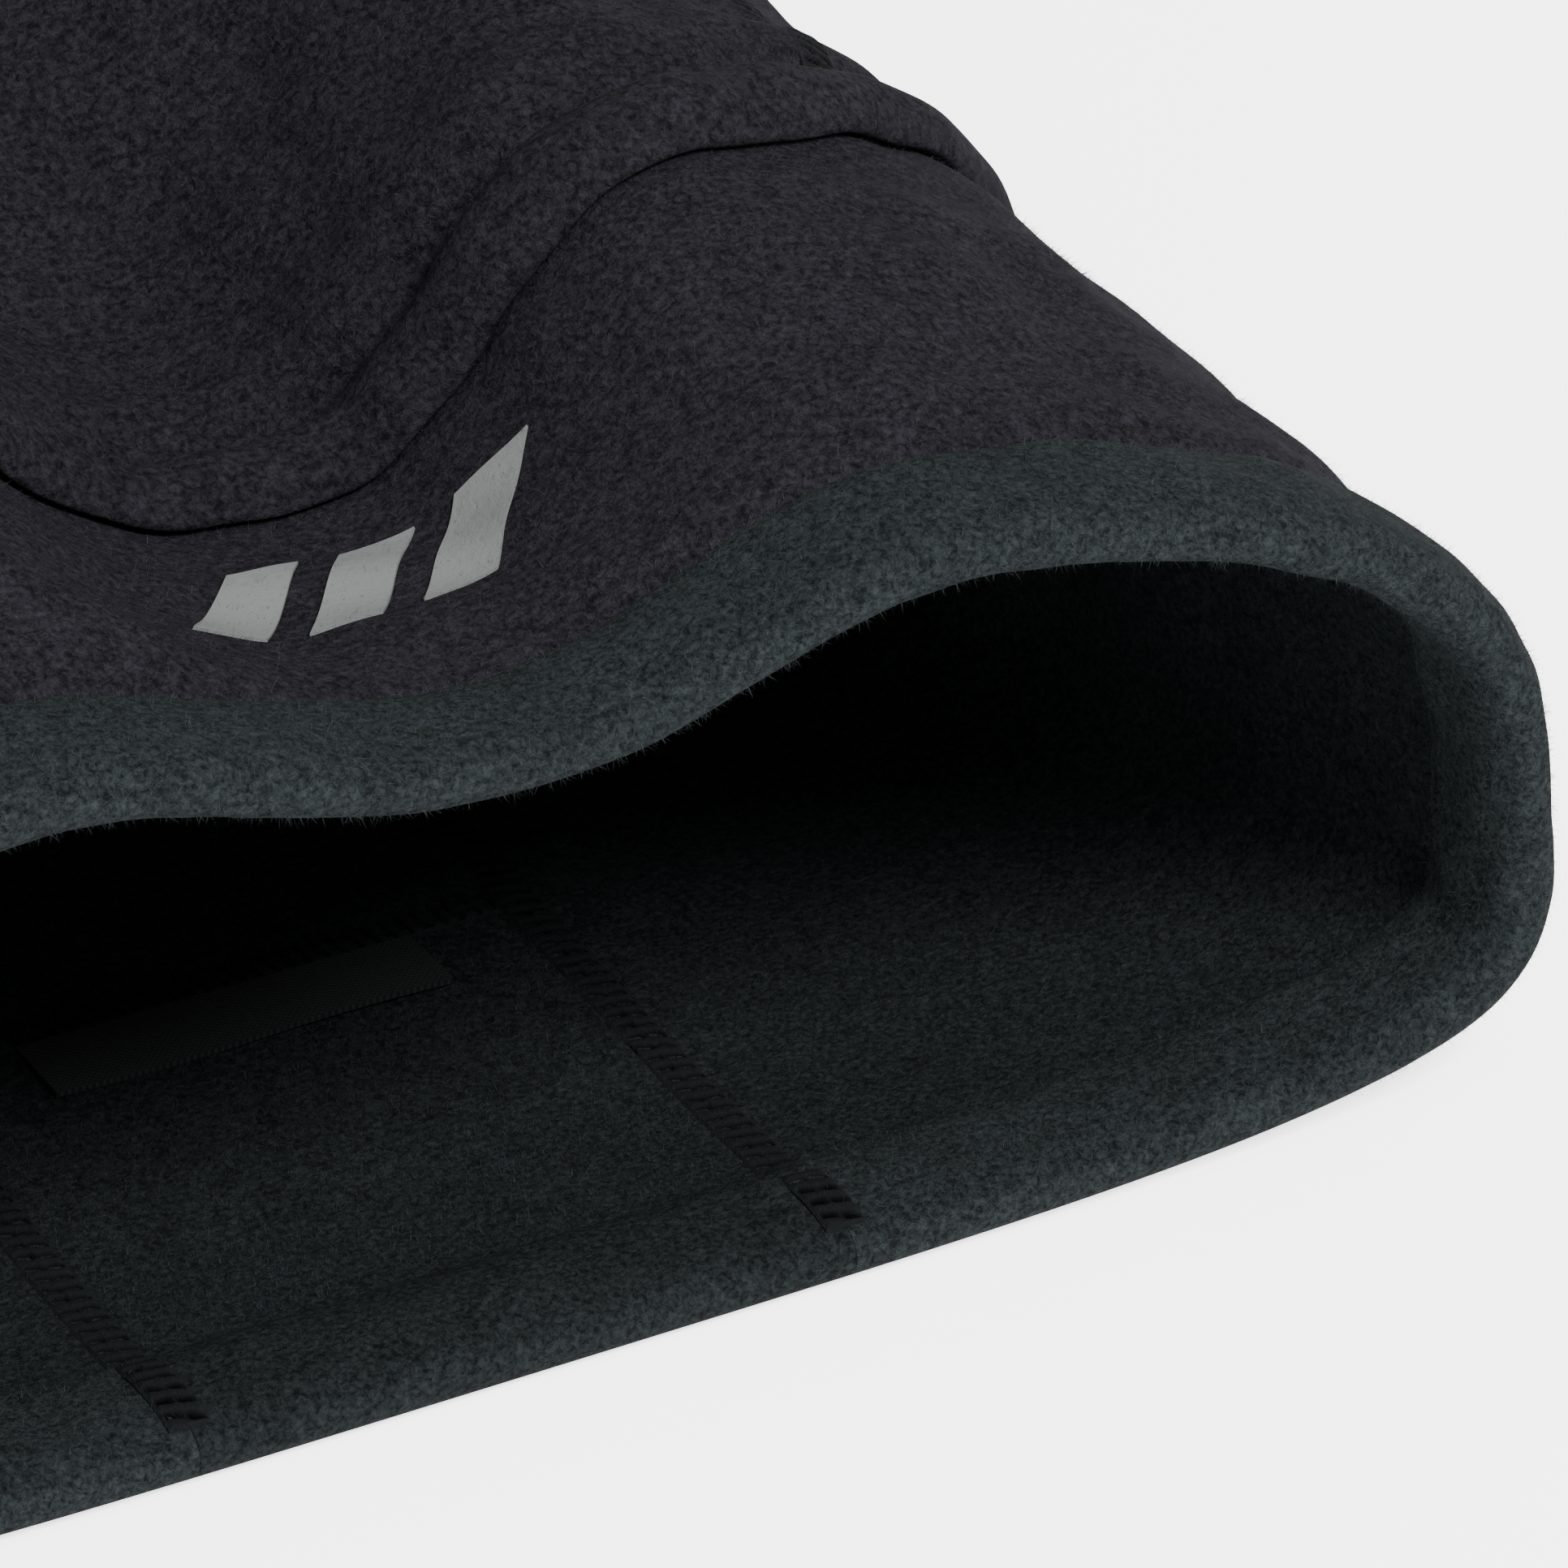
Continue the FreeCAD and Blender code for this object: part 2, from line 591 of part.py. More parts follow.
def neck_transfer():
    """Three leaning bars, all alike, side by side across the front of the neck."""
    near = to_row(size("mark_near_y"))
    far = to_row(size("mark_far_y"))
    pitch = size("mark_length") / (MARK_BARS + 0.5)
    bar_width = MARK_BAR_SHARE * pitch
    lean = size("mark_length") - (MARK_BARS - 1) * pitch - bar_width
    low = 0.5 * size("ply_gap")
    bars = []
    for index in range(MARK_BARS):
        start = size("mark_shift") - 0.5 * size("mark_length") + index * pitch
        corners = [(start, near), (start + bar_width, near), (start + bar_width + lean, far),
                   (start + lean, far), (start, near)]
        outline = Part.makePolygon([FreeCAD.Vector(x, y, size("hood_side_height")) for x, y in corners])
        bars.append(Part.Face(outline).extrude(FreeCAD.Vector(0, 0, size("hood_height"))))
    zone = feature("transfer_zone", Part.makeCompound(bars))
    made = overlap("neck_transfer", layer("transfer_layer", low + size("mark_thickness"), low), zone)
    piece("neck_transfer", made)


neck_label()
neck_transfer()


def side_patch(kind, hand, patch_layer, margin):
    low, high = beside(hand, "Sizes.wing_seam_x", WIDE)
    near = "Sizes.patch_y + (%s)" % margin
    far = "Sizes.patch_y + Sizes.patch_length - (%s)" % margin
    zone = bound_box("%s_patch_zone_%s" % (kind, hand),
                     (low, near, "Sizes.patch_low_z + (%s)" % margin),
                     (high, far, "Sizes.patch_high_z - (%s)" % margin))
    label = "%s_patch_%s" % (kind, hand)
    piece(label, overlap(label, patch_layer, zone))


LOOP_INSIDE = 0.5 * size("ply_gap")
loop_layer = layer("loop_layer", LOOP_INSIDE + size("loop_thickness"), LOOP_INSIDE)
HOOK_OUTSIDE = size("mask_clearance") - size("ply_gap")
hook_layer = layer("hook_layer", HOOK_OUTSIDE, HOOK_OUTSIDE - size("hook_thickness"))
for side_hand in HANDS:
    side_patch("loop", side_hand, loop_layer, "0")
    side_patch("hook", side_hand, hook_layer, "Sizes.hook_margin")


# ---------------------------------------------------------------------------------------------
# Face mask: front, two wings, hem band and top binding
# ---------------------------------------------------------------------------------------------
def breathing_holes():
    """Three staggered rows of holes at the mouth, as one set of cutters."""
    cutters = []
    for row in range(3):
        count = 6 + row % 2
        for column in range(count):
            made = doc.addObject("Part::Cylinder", "breath_hole")
            made.setExpression("Radius", "Sizes.breath_hole_radius")
            made.setExpression("Height", TALL)
            made.setExpression(".Placement.Base.x",
                               "Sizes.breath_hole_pitch * %.1f" % (column - 0.5 * (count - 1)))
            made.setExpression(".Placement.Base.y",
                               "Sizes.breath_hole_y + Sizes.breath_hole_pitch * %d %s" % (row, TO_ROW))
            made.setExpression(".Placement.Base.z", SPLIT)
            cutters.append(made)
    holes = doc.addObject("Part::Compound", "breath_holes")
    holes.Links = cutters
    return holes


def face_mask():
    gap = size("seam_gap")
    band = between("mask_hem_prism", mask_hem_edge(0.0),
                   reversed_edge(mask_hem_edge(size("mask_hem_width"))))
    cloth = between("mask_cloth_prism", mask_hem_edge(size("mask_hem_width") + gap),
                    mask_top_edge(-size("mask_binding_width") - gap))
    top = between("mask_top_prism",
                  reversed_edge(mask_top_edge(-size("mask_binding_width"))), mask_top_edge(0.0))
    lift = size("mask_binding_lift")
    layers = {
        "lining": (layer("mask_lining_layer", MASK_LINING_OUTSIDE, size("mask_clearance"), True), cloth),
        "shell": (layer("mask_shell_layer", MASK_SHELL_OUTSIDE, MASK_SHELL_INSIDE, True), cloth),
        "hem_band": (layer("mask_band_layer", MASK_BAND_OUTSIDE, size("mask_hem_clearance"), True),
                     band),
        "top_binding": (layer("mask_binding_layer", MASK_SHELL_OUTSIDE + lift,
                              size("mask_clearance") - lift, True), top),
    }
    seam = "Sizes.wing_seam_x - " + HALF_SEAM
    front_zone = bound_box("mask_front_zone", ("-(%s)" % seam, "0", "Sizes.hem_side_height"),
                           (seam, FAR, TALL))
    wing_zones = {}
    for hand in HANDS:
        low, high = beside(hand, "Sizes.wing_seam_x + " + HALF_SEAM, WIDE)
        wing_zones[hand] = bound_box("wing_zone_" + hand, (low, "0", "Sizes.wing_end_z"),
                                     (high, FAR, TALL))
    holes = breathing_holes()
    for part_name, (part_layer, outline) in layers.items():
        whole = overlap("mask_whole_" + part_name, part_layer, outline)
        label = "mask_front_" + part_name
        front = overlap(label + "_plain", whole, front_zone)
        if part_name in ("shell", "lining"):
            piece(label, without(label, front, holes))
        else:
            piece(label, front)
        for hand, zone in wing_zones.items():
            label = "wing_%s_%s" % (hand, part_name)
            piece(label, overlap(label, whole, zone))
    low = MASK_SHELL_OUTSIDE + 0.5 * size("ply_gap")
    seam_run = overlap("wing_seam_run",
                       layer("wing_seam_layer", low + size("wing_seam_height"), low, True), cloth)
    for hand in HANDS:
        near, far = beside(hand, "Sizes.wing_seam_x - Sizes.seam_width", seam)
        zone = bound_box("wing_seam_zone_" + hand, (near, "0", SPLIT), (far, FAR, TALL))
        piece("wing_seam_" + hand, overlap("wing_seam_" + hand, seam_run, zone))


face_mask()
doc.recompute()


# ---------------------------------------------------------------------------------------------
# Check every object, then write one file for each piece
# ---------------------------------------------------------------------------------------------
def check_document():
    for made in doc.Objects:
        if "Invalid" in made.State or "Error" in made.State:
            raise RuntimeError("%s failed: %s" % (made.Label, made.State))
    for made in pieces:
        if made.Shape.isNull() or not made.Shape.isValid() or not made.Shape.Solids:
            raise RuntimeError("%s has no sound solid" % made.Label)


check_document()
os.makedirs("parts", exist_ok=True)
for made in pieces:
    made.Shape.exportStep(os.path.join("parts", made.Label + ".step"))
    print("%-28s %2d solid  %9.1f mm3" % (made.Label, len(made.Shape.Solids), made.Shape.Volume))
print("%d pieces" % len(pieces))
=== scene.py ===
"""Fleece balaclava with a lift-off face mask: cloth, stitching, nap and finishes around the CAD frame.

Metres. +Z points out of the front of the garment, +Y from the neck hem to the crown, +X to the
wearer's left. Distances along the garment are counted from the neck hem.
"""
import math
import bmesh
import bpy
import numpy as np
from bpy.props import FloatProperty, FloatVectorProperty, IntProperty, PointerProperty
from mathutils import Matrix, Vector


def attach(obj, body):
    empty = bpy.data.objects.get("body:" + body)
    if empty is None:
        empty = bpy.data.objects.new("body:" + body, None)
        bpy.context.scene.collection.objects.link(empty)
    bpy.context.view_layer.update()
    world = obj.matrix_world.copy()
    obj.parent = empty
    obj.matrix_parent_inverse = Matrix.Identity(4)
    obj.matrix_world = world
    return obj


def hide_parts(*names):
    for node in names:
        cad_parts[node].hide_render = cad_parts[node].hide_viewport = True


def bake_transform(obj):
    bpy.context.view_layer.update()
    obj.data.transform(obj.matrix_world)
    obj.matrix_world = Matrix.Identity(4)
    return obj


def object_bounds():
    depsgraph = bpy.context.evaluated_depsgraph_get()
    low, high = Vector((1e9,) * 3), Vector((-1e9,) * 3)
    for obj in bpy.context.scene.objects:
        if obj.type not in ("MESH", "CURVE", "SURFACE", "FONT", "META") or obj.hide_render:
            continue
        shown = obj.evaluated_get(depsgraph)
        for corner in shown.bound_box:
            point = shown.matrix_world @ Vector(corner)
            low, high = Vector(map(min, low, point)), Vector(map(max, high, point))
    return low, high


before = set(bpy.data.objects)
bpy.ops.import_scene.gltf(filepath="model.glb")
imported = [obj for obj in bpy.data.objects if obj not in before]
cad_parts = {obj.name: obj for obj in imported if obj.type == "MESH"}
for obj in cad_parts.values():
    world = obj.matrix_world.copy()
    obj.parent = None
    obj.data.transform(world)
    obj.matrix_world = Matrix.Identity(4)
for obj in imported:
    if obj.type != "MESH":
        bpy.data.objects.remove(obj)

bl_info = {
    "name": "Balaclava",
    "version": (1, 0, 0),
    "blender": (4, 5, 0),
    "location": "View3D > Sidebar > Balaclava",
    "description": "Builds the cloth, seams, nap and finishes of a fleece balaclava with a lift-off mask",
    "category": "Add Mesh",
}

CAD_BOX = [list(corner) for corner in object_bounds()]
HEM = CAD_BOX[0][1]                 # y of the neck hem
MM = 0.001
HANDS = {"left": 1.0, "right": -1.0}


# ---------------------------------------------------------------------------------------------
# Sizes and colours that can be changed
# ---------------------------------------------------------------------------------------------
def length(name, millimetres, description):
    """A length that is given in millimetres and kept in metres."""
    return FloatProperty(name=name, description=description, default=millimetres * MM,
                         unit="LENGTH", precision=5)


def colour(name, value, description):
    return FloatVectorProperty(name=name, description=description, default=value, size=3,
                               subtype="COLOR", min=0.0, max=1.0)


def cut(name, wide, long, description):
    """The flat size of a cloth piece before it is sewn, in metres."""
    return FloatVectorProperty(name=name, description=description, default=(wide, long), size=2,
                               subtype="XYZ", unit="LENGTH")


class FormSizes(bpy.types.PropertyGroup):
    """The smooth form that all the cloth follows."""
    hem_half_width: length("Hem half width", 118, "Half width of the neck at the hem")
    narrow_half_width: length("Narrow half width", 98.5, "Half width of the neck at its narrowest")
    hood_half_width: length("Hood half width", 114, "Half width at the temples")
    hem_height: length("Hem height", 86, "Height of the neck opening")
    waist_height: length("Waist height", 99.5, "Height where the mask hem crosses")
    hood_height: length("Hood height", 101, "Height at the cheeks")
    hem_side_height: length("Hem side height", 28, "Height of the widest line at the hem")
    hood_side_height: length("Hood side height", 44, "Height of the widest line at the hood")
    waist_y: length("Waist", 78, "Hem to the waist of the neck")
    narrow_y: length("Narrowest", 125, "Hem to the narrowest part of the neck")
    temple_y: length("Temples", 235, "Hem to the full width of the hood")
    cheek_y: length("Cheeks", 205, "Hem to the full height of the cheeks")
    dome_y: length("Dome start", 290, "Hem to the start of the rounded crown")
    dome_length: length("Dome length", 100, "Length of the rounded crown")
    hem_sag: length("Hem sag", 12, "Dip of the front at the hem")
    waist_sag: length("Waist sag", 33.5, "Dip of the front under the mask hem")
    sag_width: length("Sag width", 32.5, "Half width of the dip")
    rest_bite: length("Rest bite", 0.8, "How far the back is flattened by its own weight")
    hem_lift: length("Hem lift", 2.2, "How far the turned hem lifts the back of the neck")
    nose_height: length("Nose height", 16, "How far the nose of the mask stands out")
    nose_y: length("Nose", 214, "Hem to the tip of the nose")
    nose_half_width: length("Nose half width", 26, "Half width of the nose")
    nose_half_length: length("Nose half length", 40, "Half length of the nose")
    ripple: length("Ripple", 0.75, "How uneven the cloth lies")
    crumple: length("Crumple", 0.28, "Small unevenness of the cloth")


class ClothSizes(bpy.types.PropertyGroup):
    """Panels, plies, hems and seams."""
    shell_inside: length("Shell inside", -1.5, "Inner face of the outer fleece")
    lining_outside: length("Lining outside", -1.6, "Outer face of the inner fleece")
    lining_inside: length("Lining inside", -3.3, "Inner face of the inner fleece")
    hem_depth: length("Hem depth", 16.2, "Height of the turned hem")
    rim: length("Rim", 1.85, "Where the panels start inside the turned hem")
    strip_half_width: length("Strip half width", 36.5, "Half width of the centre strip")
    neck_back_y: length("Neck back seam", 78, "Hem to the seam across the back of the neck")
    neck_front_y: length("Neck front seam", 118, "Hem to the seam between neck and hood")
    seam_gap: length("Seam gap", 0.3, "Gap between two panels at a seam")
    seam_width: length("Seam width", 4.6, "Width of a ladder seam")
    stitch_pitch: length("Stitch pitch", 2.0, "Spacing of the rungs of a ladder seam")
    hem_stitch_pitch: length("Hem stitch pitch", 2.3, "Spacing of the rungs on the turned hem")
    opening_bottom_y: length("Chin edge", 136, "Hem to the chin edge of the face opening")
    opening_top_y: length("Brow edge", 300, "Hem to the brow edge of the face opening")
    opening_half_width: length("Opening half width", 72, "Half width of the face opening")
    mask_hem_y: length("Mask hem", 61, "Hem to the lowest point of the mask hem")
    mask_hem_rise: length("Mask hem rise", 33, "How much the mask hem climbs at the side")
    mask_hem_width: length("Mask hem width", 12, "Width of the mask hem band")
    mask_top_y: length("Mask top", 240, "Hem to the nose edge of the mask")
    mask_top_drop: length("Mask top drop", 50, "How much the top edge drops to the wing seam")
    mask_binding_width: length("Mask binding width", 7, "Binding on the top edge of the mask")
    mask_inside: length("Mask inside", 1.3, "Inner face of the mask lining")
    mask_ply: length("Mask ply", 2.25, "Between the two plies of the mask")
    mask_outside: length("Mask outside", 3.5, "Outer face of the mask shell")
    wing_seam_x: length("Wing seam", 79, "Centre line to the seam of a mask wing")
    wing_end_z: length("Wing end", 50, "Height of the free end of a wing")
    wing_bend: length("Wing bend", 20, "Cloth beside the wing seam that bends as a wing peels")
    patch_y: length("Patch", 128, "Hem to the near edge of a loop patch")
    patch_length: length("Patch length", 44, "Hook and loop patch along the garment")
    patch_low_z: length("Patch low edge", 54, "Lower edge of a loop patch")
    patch_high_z: length("Patch high edge", 74, "Upper edge of a loop patch")
    hook_margin: length("Hook margin", 1.5, "How much smaller the hook patch is all round")
    hole_radius: length("Breathing hole", 1.7, "Radius of a breathing hole")
    hole_pitch: length("Hole pitch", 8, "Spacing of the breathing holes")
    hole_y: length("Hole row", 168, "Hem to the first row of breathing holes")
    label_half_width: length("Label half width", 23, "Half the woven label across the back")
    label_length: length("Label length", 13, "Woven label below its seam")
    mark_near_y: length("Transfer near edge", 34, "Hem to the near edge of the transfer")
    mark_far_y: length("Transfer far edge", 50, "Hem to the far edge of the transfer")
    mark_length: length("Transfer length", 44, "Transfer across the front of the neck")
    mark_shift: length("Transfer shift", 3.0, "How far the transfer sits to the left")


class CutSizes(bpy.types.PropertyGroup):
    """Flat sizes of the cloth pieces before they are sewn."""
    neck_panel: cut("Neck panel", 0.530, 0.116, "Round the neck, and along it")
    neck_strip: cut("Neck strip", 0.073, 0.076, "Across, and along")
    crown_strip: cut("Crown strip", 0.073, 0.395, "Across, and from the neck to the brow")
    side_panel: cut("Side panel", 0.225, 0.262, "Round the head, and along it")
    hem_front: cut("Hem facing", 0.530, 0.041, "Round the neck, and turned over the hem")
    hem_back: cut("Hem facing back", 0.073, 0.041, "Across, and turned over the hem")
    mask_front: cut("Mask front", 0.180, 0.150, "Across, and from hem to nose")
    mask_wing: cut("Mask wing", 0.058, 0.084, "Round the side, and along")
    label: cut("Label", 0.046, 0.0106, "Across, and along")
    patch: cut("Patch", 0.023, 0.044, "Round the side, and along")
    nap: IntProperty(name="Nap doublings", default=15, min=8, max=15,
                     description="Each doubling doubles the number of fibres in a patch of nap")


class FleeceColours(bpy.types.PropertyGroup):
    """Colours of the cloth and trimmings."""
    outer: colour("Outer fleece", (0.0088, 0.0082, 0.0104), "Near-black outer fleece")
    # The lining colour is the turned hem's green-grey fleece darkened to about 0.78 of it: painted shade
    # inside the hood.
    inner: colour("Inner fleece", (0.0072, 0.0086, 0.0091), "Dark green-grey lining")
    hem: colour("Turned hem", (0.0092, 0.0112, 0.0117), "Green-grey fleece of the neck hem")
    thread: colour("Seam thread", (0.0036, 0.0040, 0.0043), "Ladder stitching")
    knit: colour("Stretch binding", (0.0100, 0.0096, 0.0114), "Folded knit binding")
    film: colour("Reflective film", (0.084, 0.089, 0.086), "Matte grey transfer")
    label: colour("Label", (0.0058, 0.0064, 0.0068), "Woven label")
    tape: colour("Hook and loop tape", (0.0090, 0.0090, 0.0105), "Fastener tape")
    elastic: colour("Elastic", (0.055, 0.055, 0.060), "Elastic in the binding")


class StageSettings(bpy.types.PropertyGroup):
    """Floor, lights and camera."""
    floor: colour("Floor", (0.90, 0.90, 0.90), "Plain pale floor")
    floor_glow: FloatProperty(name="Floor glow", description="How brightly the floor is lit through",
                              default=2.6)
    floor_radius: FloatProperty(name="Floor radius", description="Radius of the round floor",
                                default=6.0, unit="LENGTH")
    sky: FloatProperty(name="Sky", description="Strength of the even light", default=1.2)
    key: FloatProperty(name="Key light", description="Power of the main soft light",
                       default=120.0, unit="POWER")
    key_size: FloatProperty(name="Key size", description="Width of the main soft light",
                            default=0.7, unit="LENGTH")
    key_place: FloatVectorProperty(name="Key place", description="Where the main light stands",
                                   default=(0.30, -1.45, 1.65), subtype="XYZ", unit="LENGTH")
    fill: FloatProperty(name="Fill light", description="Power of the light from the left",
                        default=5.0, unit="POWER")
    fill_place: FloatVectorProperty(name="Fill place", description="Where the fill light stands",
                                    default=(-1.5, -0.2, 1.2), subtype="XYZ", unit="LENGTH")
    camera_place: FloatVectorProperty(name="Camera place", description="Where the camera stands",
                                      default=(-0.3097, -0.8309, 0.5155), subtype="XYZ",
                                      unit="LENGTH")
    camera_turn: FloatProperty(name="Camera turn", description="Turn of the camera to the right",
                               default=math.radians(27.98), subtype="ANGLE")
    camera_dip: FloatProperty(name="Camera dip", description="How far the camera looks down",
                              default=math.radians(32.17), subtype="ANGLE")
    lens: FloatProperty(name="Lens", description="Focal length in millimetres", default=201.0)


def ease(value, start, end):
    """0 before start, 1 after end, smooth between them."""
    share = np.clip((value - start) / (end - start), 0.0, 1.0)
    return share * share * (3.0 - 2.0 * share)


class Unevenness:
    """Smooth seeded noise in space, about as often above zero as below, with a spread of one."""

    def __init__(self, seed, wavelength, waves=22):
        random = np.random.default_rng(seed)
        ways = random.normal(size=(waves, 3))
        ways /= np.linalg.norm(ways, axis=1, keepdims=True)
        self.waves = ways * (2 * math.pi / wavelength) * random.uniform(0.6, 1.5, (waves, 1))
        self.starts = random.uniform(0, 2 * math.pi, waves)

    def __call__(self, points):
        total = np.sin(np.asarray(points) @ self.waves.T + self.starts).sum(-1)
        return total / math.sqrt(0.5 * len(self.starts))


RIPPLE = Unevenness(3, 0.060)
CRUMPLE = Unevenness(5, 0.017)
LUMPS = Unevenness(7, 0.0085)
GRIT = Unevenness(11, 0.0034)
OUTLINE_STEPS = 420
FRONT_POWER = 2.6
BACK_POWER = 4.0
SAG_POWER = 2.6
BILLOW_HEIGHT = 0.9 * MM            # the swell of the neck beyond its hem: height, how far
BILLOW_AWAY = 9 * MM                # beyond the hem it is highest, and width
BILLOW_WIDTH = 7 * MM
FRONT_HEIGHT = 0.02                 # cloth above this height is on the front of the neck
FOLD_RIDGE = (((-0.050, 0.050), (-0.036, 0.034), (-0.018, 0.021)), 2.0 * MM, 6.0 * MM)


# ---------------------------------------------------------------------------------------------
# The form: the outer surface of the hood, by distance from the hem and place round the section
# ---------------------------------------------------------------------------------------------
class Form:
    """The smooth form, with its sizes copied from the settings."""

    def __init__(self, sizes):
        for name in type(sizes).__annotations__:
            setattr(self, name, getattr(sizes, name))

    def blend_sizes(self, y, hem, waist, hood):
        return (hem + (waist - hem) * ease(y, 0.0, self.waist_y)
                + (hood - waist) * ease(y, self.waist_y, self.cheek_y))

    def half_width(self, y):
        return (self.hem_half_width
                + (self.narrow_half_width - self.hem_half_width) * ease(y, 0.0, self.narrow_y)
                + (self.hood_half_width - self.narrow_half_width)
                * ease(y, self.narrow_y, self.temple_y))

    def side(self, y):
        climb = self.hood_side_height - self.hem_side_height
        return self.hem_side_height + climb * ease(y, 0.0, self.cheek_y)

    def low(self, y):
        return -self.rest_bite + self.hem_lift * (1.0 - ease(y, 0.0, 0.5 * self.waist_y))

    def rise(self, x, y, nose):
        """Height of the front above the side line, before the section rounds off."""
        top = self.blend_sizes(y, self.hem_height, self.waist_height, self.hood_height)
        sag = self.hem_sag + (self.waist_sag - self.hem_sag) * ease(y, 0.0, self.waist_y)
        sag = sag * (1.0 - ease(y, self.waist_y, self.cheek_y))
        high = top - self.side(y) - sag * np.exp(-np.abs(x / self.sag_width) ** SAG_POWER)
        if nose:
            across, along = x / self.nose_half_width, (y - self.nose_y) / self.nose_half_length
            high = high + self.nose_height * np.exp(-across ** 2 - along ** 2)
        return high

    def shrink(self, y):
        """How much smaller the section is on the rounded crown."""
        angle_sine = np.clip((y - self.dome_y) / self.dome_length, 0.0, 0.9998)
        return np.sqrt(1.0 - angle_sine ** 2)

    def level(self, points, nose):
        """Less than one inside the form, one on it, more than one outside."""
        x, y, z = points[..., 0], points[..., 1] - HEM, points[..., 2]
        small = self.shrink(y)
        y = np.minimum(y, self.dome_y)
        x, up = np.abs(x) / small, (z - self.side(y)) / small
        front = up > 0
        high = np.where(front, self.rise(x, y, nose), self.side(y) - self.low(y))
        power = np.where(front, FRONT_POWER, BACK_POWER)
        return (x / self.half_width(y)) ** power + (np.abs(up) / high) ** power

    def normals(self, points, nose=False):
        step = 0.03 * MM
        slope = np.stack([self.level(points + step * axis, nose) - self.level(points - step * axis, nose)
                          for axis in np.eye(3)], axis=-1)
        return slope / np.maximum(np.linalg.norm(slope, axis=-1, keepdims=True), 1e-12)

    def front(self, x, y, nose=False):
        """Points on the front of the form over x and y."""
        x, y = np.broadcast_arrays(np.asarray(x, float), np.asarray(y, float))
        small, level_y = self.shrink(y), np.minimum(y, self.dome_y)
        across = np.clip(np.abs(x) / small / self.half_width(level_y), 0.0, 1.0)
        up = (1.0 - across ** FRONT_POWER) ** (1.0 / FRONT_POWER)
        z = self.side(level_y) + small * self.rise(np.abs(x) / small, level_y, nose) * up
        return np.stack([x, y + HEM, z], axis=-1)

    def back(self, x, y):
        """Points on the back of the form over x and y."""
        x, y = np.broadcast_arrays(np.asarray(x, float), np.asarray(y, float))
        small, level_y = self.shrink(y), np.minimum(y, self.dome_y)
        across = np.clip(np.abs(x) / small / self.half_width(level_y), 0.0, 1.0)
        down = (1.0 - across ** BACK_POWER) ** (1.0 / BACK_POWER)
        z = self.side(level_y) - small * (self.side(level_y) - self.low(level_y)) * down
        return np.stack([x, y + HEM, z], axis=-1)

    def outline(self, y, nose=False):
        """Half a section from the middle of the back to the middle of the front."""
        small, y = self.shrink(y), min(y, self.dome_y)
        share = np.linspace(0.0, 1.0, OUTLINE_STEPS)
        turn = 0.5 * math.pi * share * share * (3.0 - 2.0 * share)
        sine, cosine = np.abs(np.sin(turn)), np.abs(np.cos(turn))
        wide, side = self.half_width(y), self.side(y)
        back_x = wide * sine ** (2 / BACK_POWER)
        back_z = side - (side - self.low(y)) * cosine ** (2 / BACK_POWER)
        front_x = wide * cosine ** (2 / FRONT_POWER)
        front_z = side + self.rise(front_x, y, nose) * sine ** (2 / FRONT_POWER)
        x = small * np.concatenate([back_x, front_x[1:]])
        z = side + small * (np.concatenate([back_z, front_z[1:]]) - side)
        travelled = np.concatenate([[0.0], np.cumsum(np.hypot(np.diff(x), np.diff(z)))])
        return x, z, travelled

    def around(self, y, start, stop, shares, nose=False):
        """Points on one half section, spaced by shares of the way from start to stop.

        start and stop are ("back", x), ("front", x) or ("height", z)."""
        x, z, travelled = self.outline(y, nose)

        def mark(where, value):
            if where == "back":
                return np.interp(value, x[:OUTLINE_STEPS], travelled[:OUTLINE_STEPS])
            if where == "front":
                return np.interp(-value, -x[OUTLINE_STEPS - 1:], travelled[OUTLINE_STEPS - 1:])
            outer = x > 0.45 * x.max()
            return np.interp(value, z[outer], travelled[outer])

        first, last = mark(*start), mark(*stop)
        places = first + (last - first) * np.asarray(shares)
        return np.stack([np.interp(places, travelled, x), np.full(len(places), y + HEM),
                         np.interp(places, travelled, z)], axis=-1)

    def lengthwise(self, x, start, end, steps):
        """Points along the garment at one x: up the back, over the crown and down to the brow."""
        limit = math.acos(min(0.9998, abs(x) / self.half_width(self.dome_y)))
        climb = np.sin(np.linspace(0.0, 1.0, 160) ** 0.8 * limit) * self.dome_length + self.dome_y
        rows = np.concatenate([np.linspace(start, self.dome_y, 120, endpoint=False), climb])
        points = self.back(x, rows)
        down = climb[::-1]
        if end < self.dome_y:
            down = np.concatenate([down, np.linspace(self.dome_y, end, 60)[1:]])
        else:
            down = np.append(down[down > end], end)
        points = np.concatenate([points, self.front(x, down)])
        travelled = np.concatenate([[0], np.cumsum(np.linalg.norm(np.diff(points, axis=0), axis=1))])
        places = np.linspace(0.0, travelled[-1], steps)
        return np.stack([np.interp(places, travelled, points[:, k]) for k in range(3)], axis=-1)

    def folds(self, points):
        """How far the cloth stands out of the form: slow ripples and small crumples."""
        lift = self.ripple * RIPPLE(points) + self.crumple * CRUMPLE(points)
        lift = lift * ease(points[..., 2], 0.003, 0.022)
        lift = lift * (0.35 + 0.65 * ease(points[..., 1] - HEM, 0.0, 0.03))
        return lift

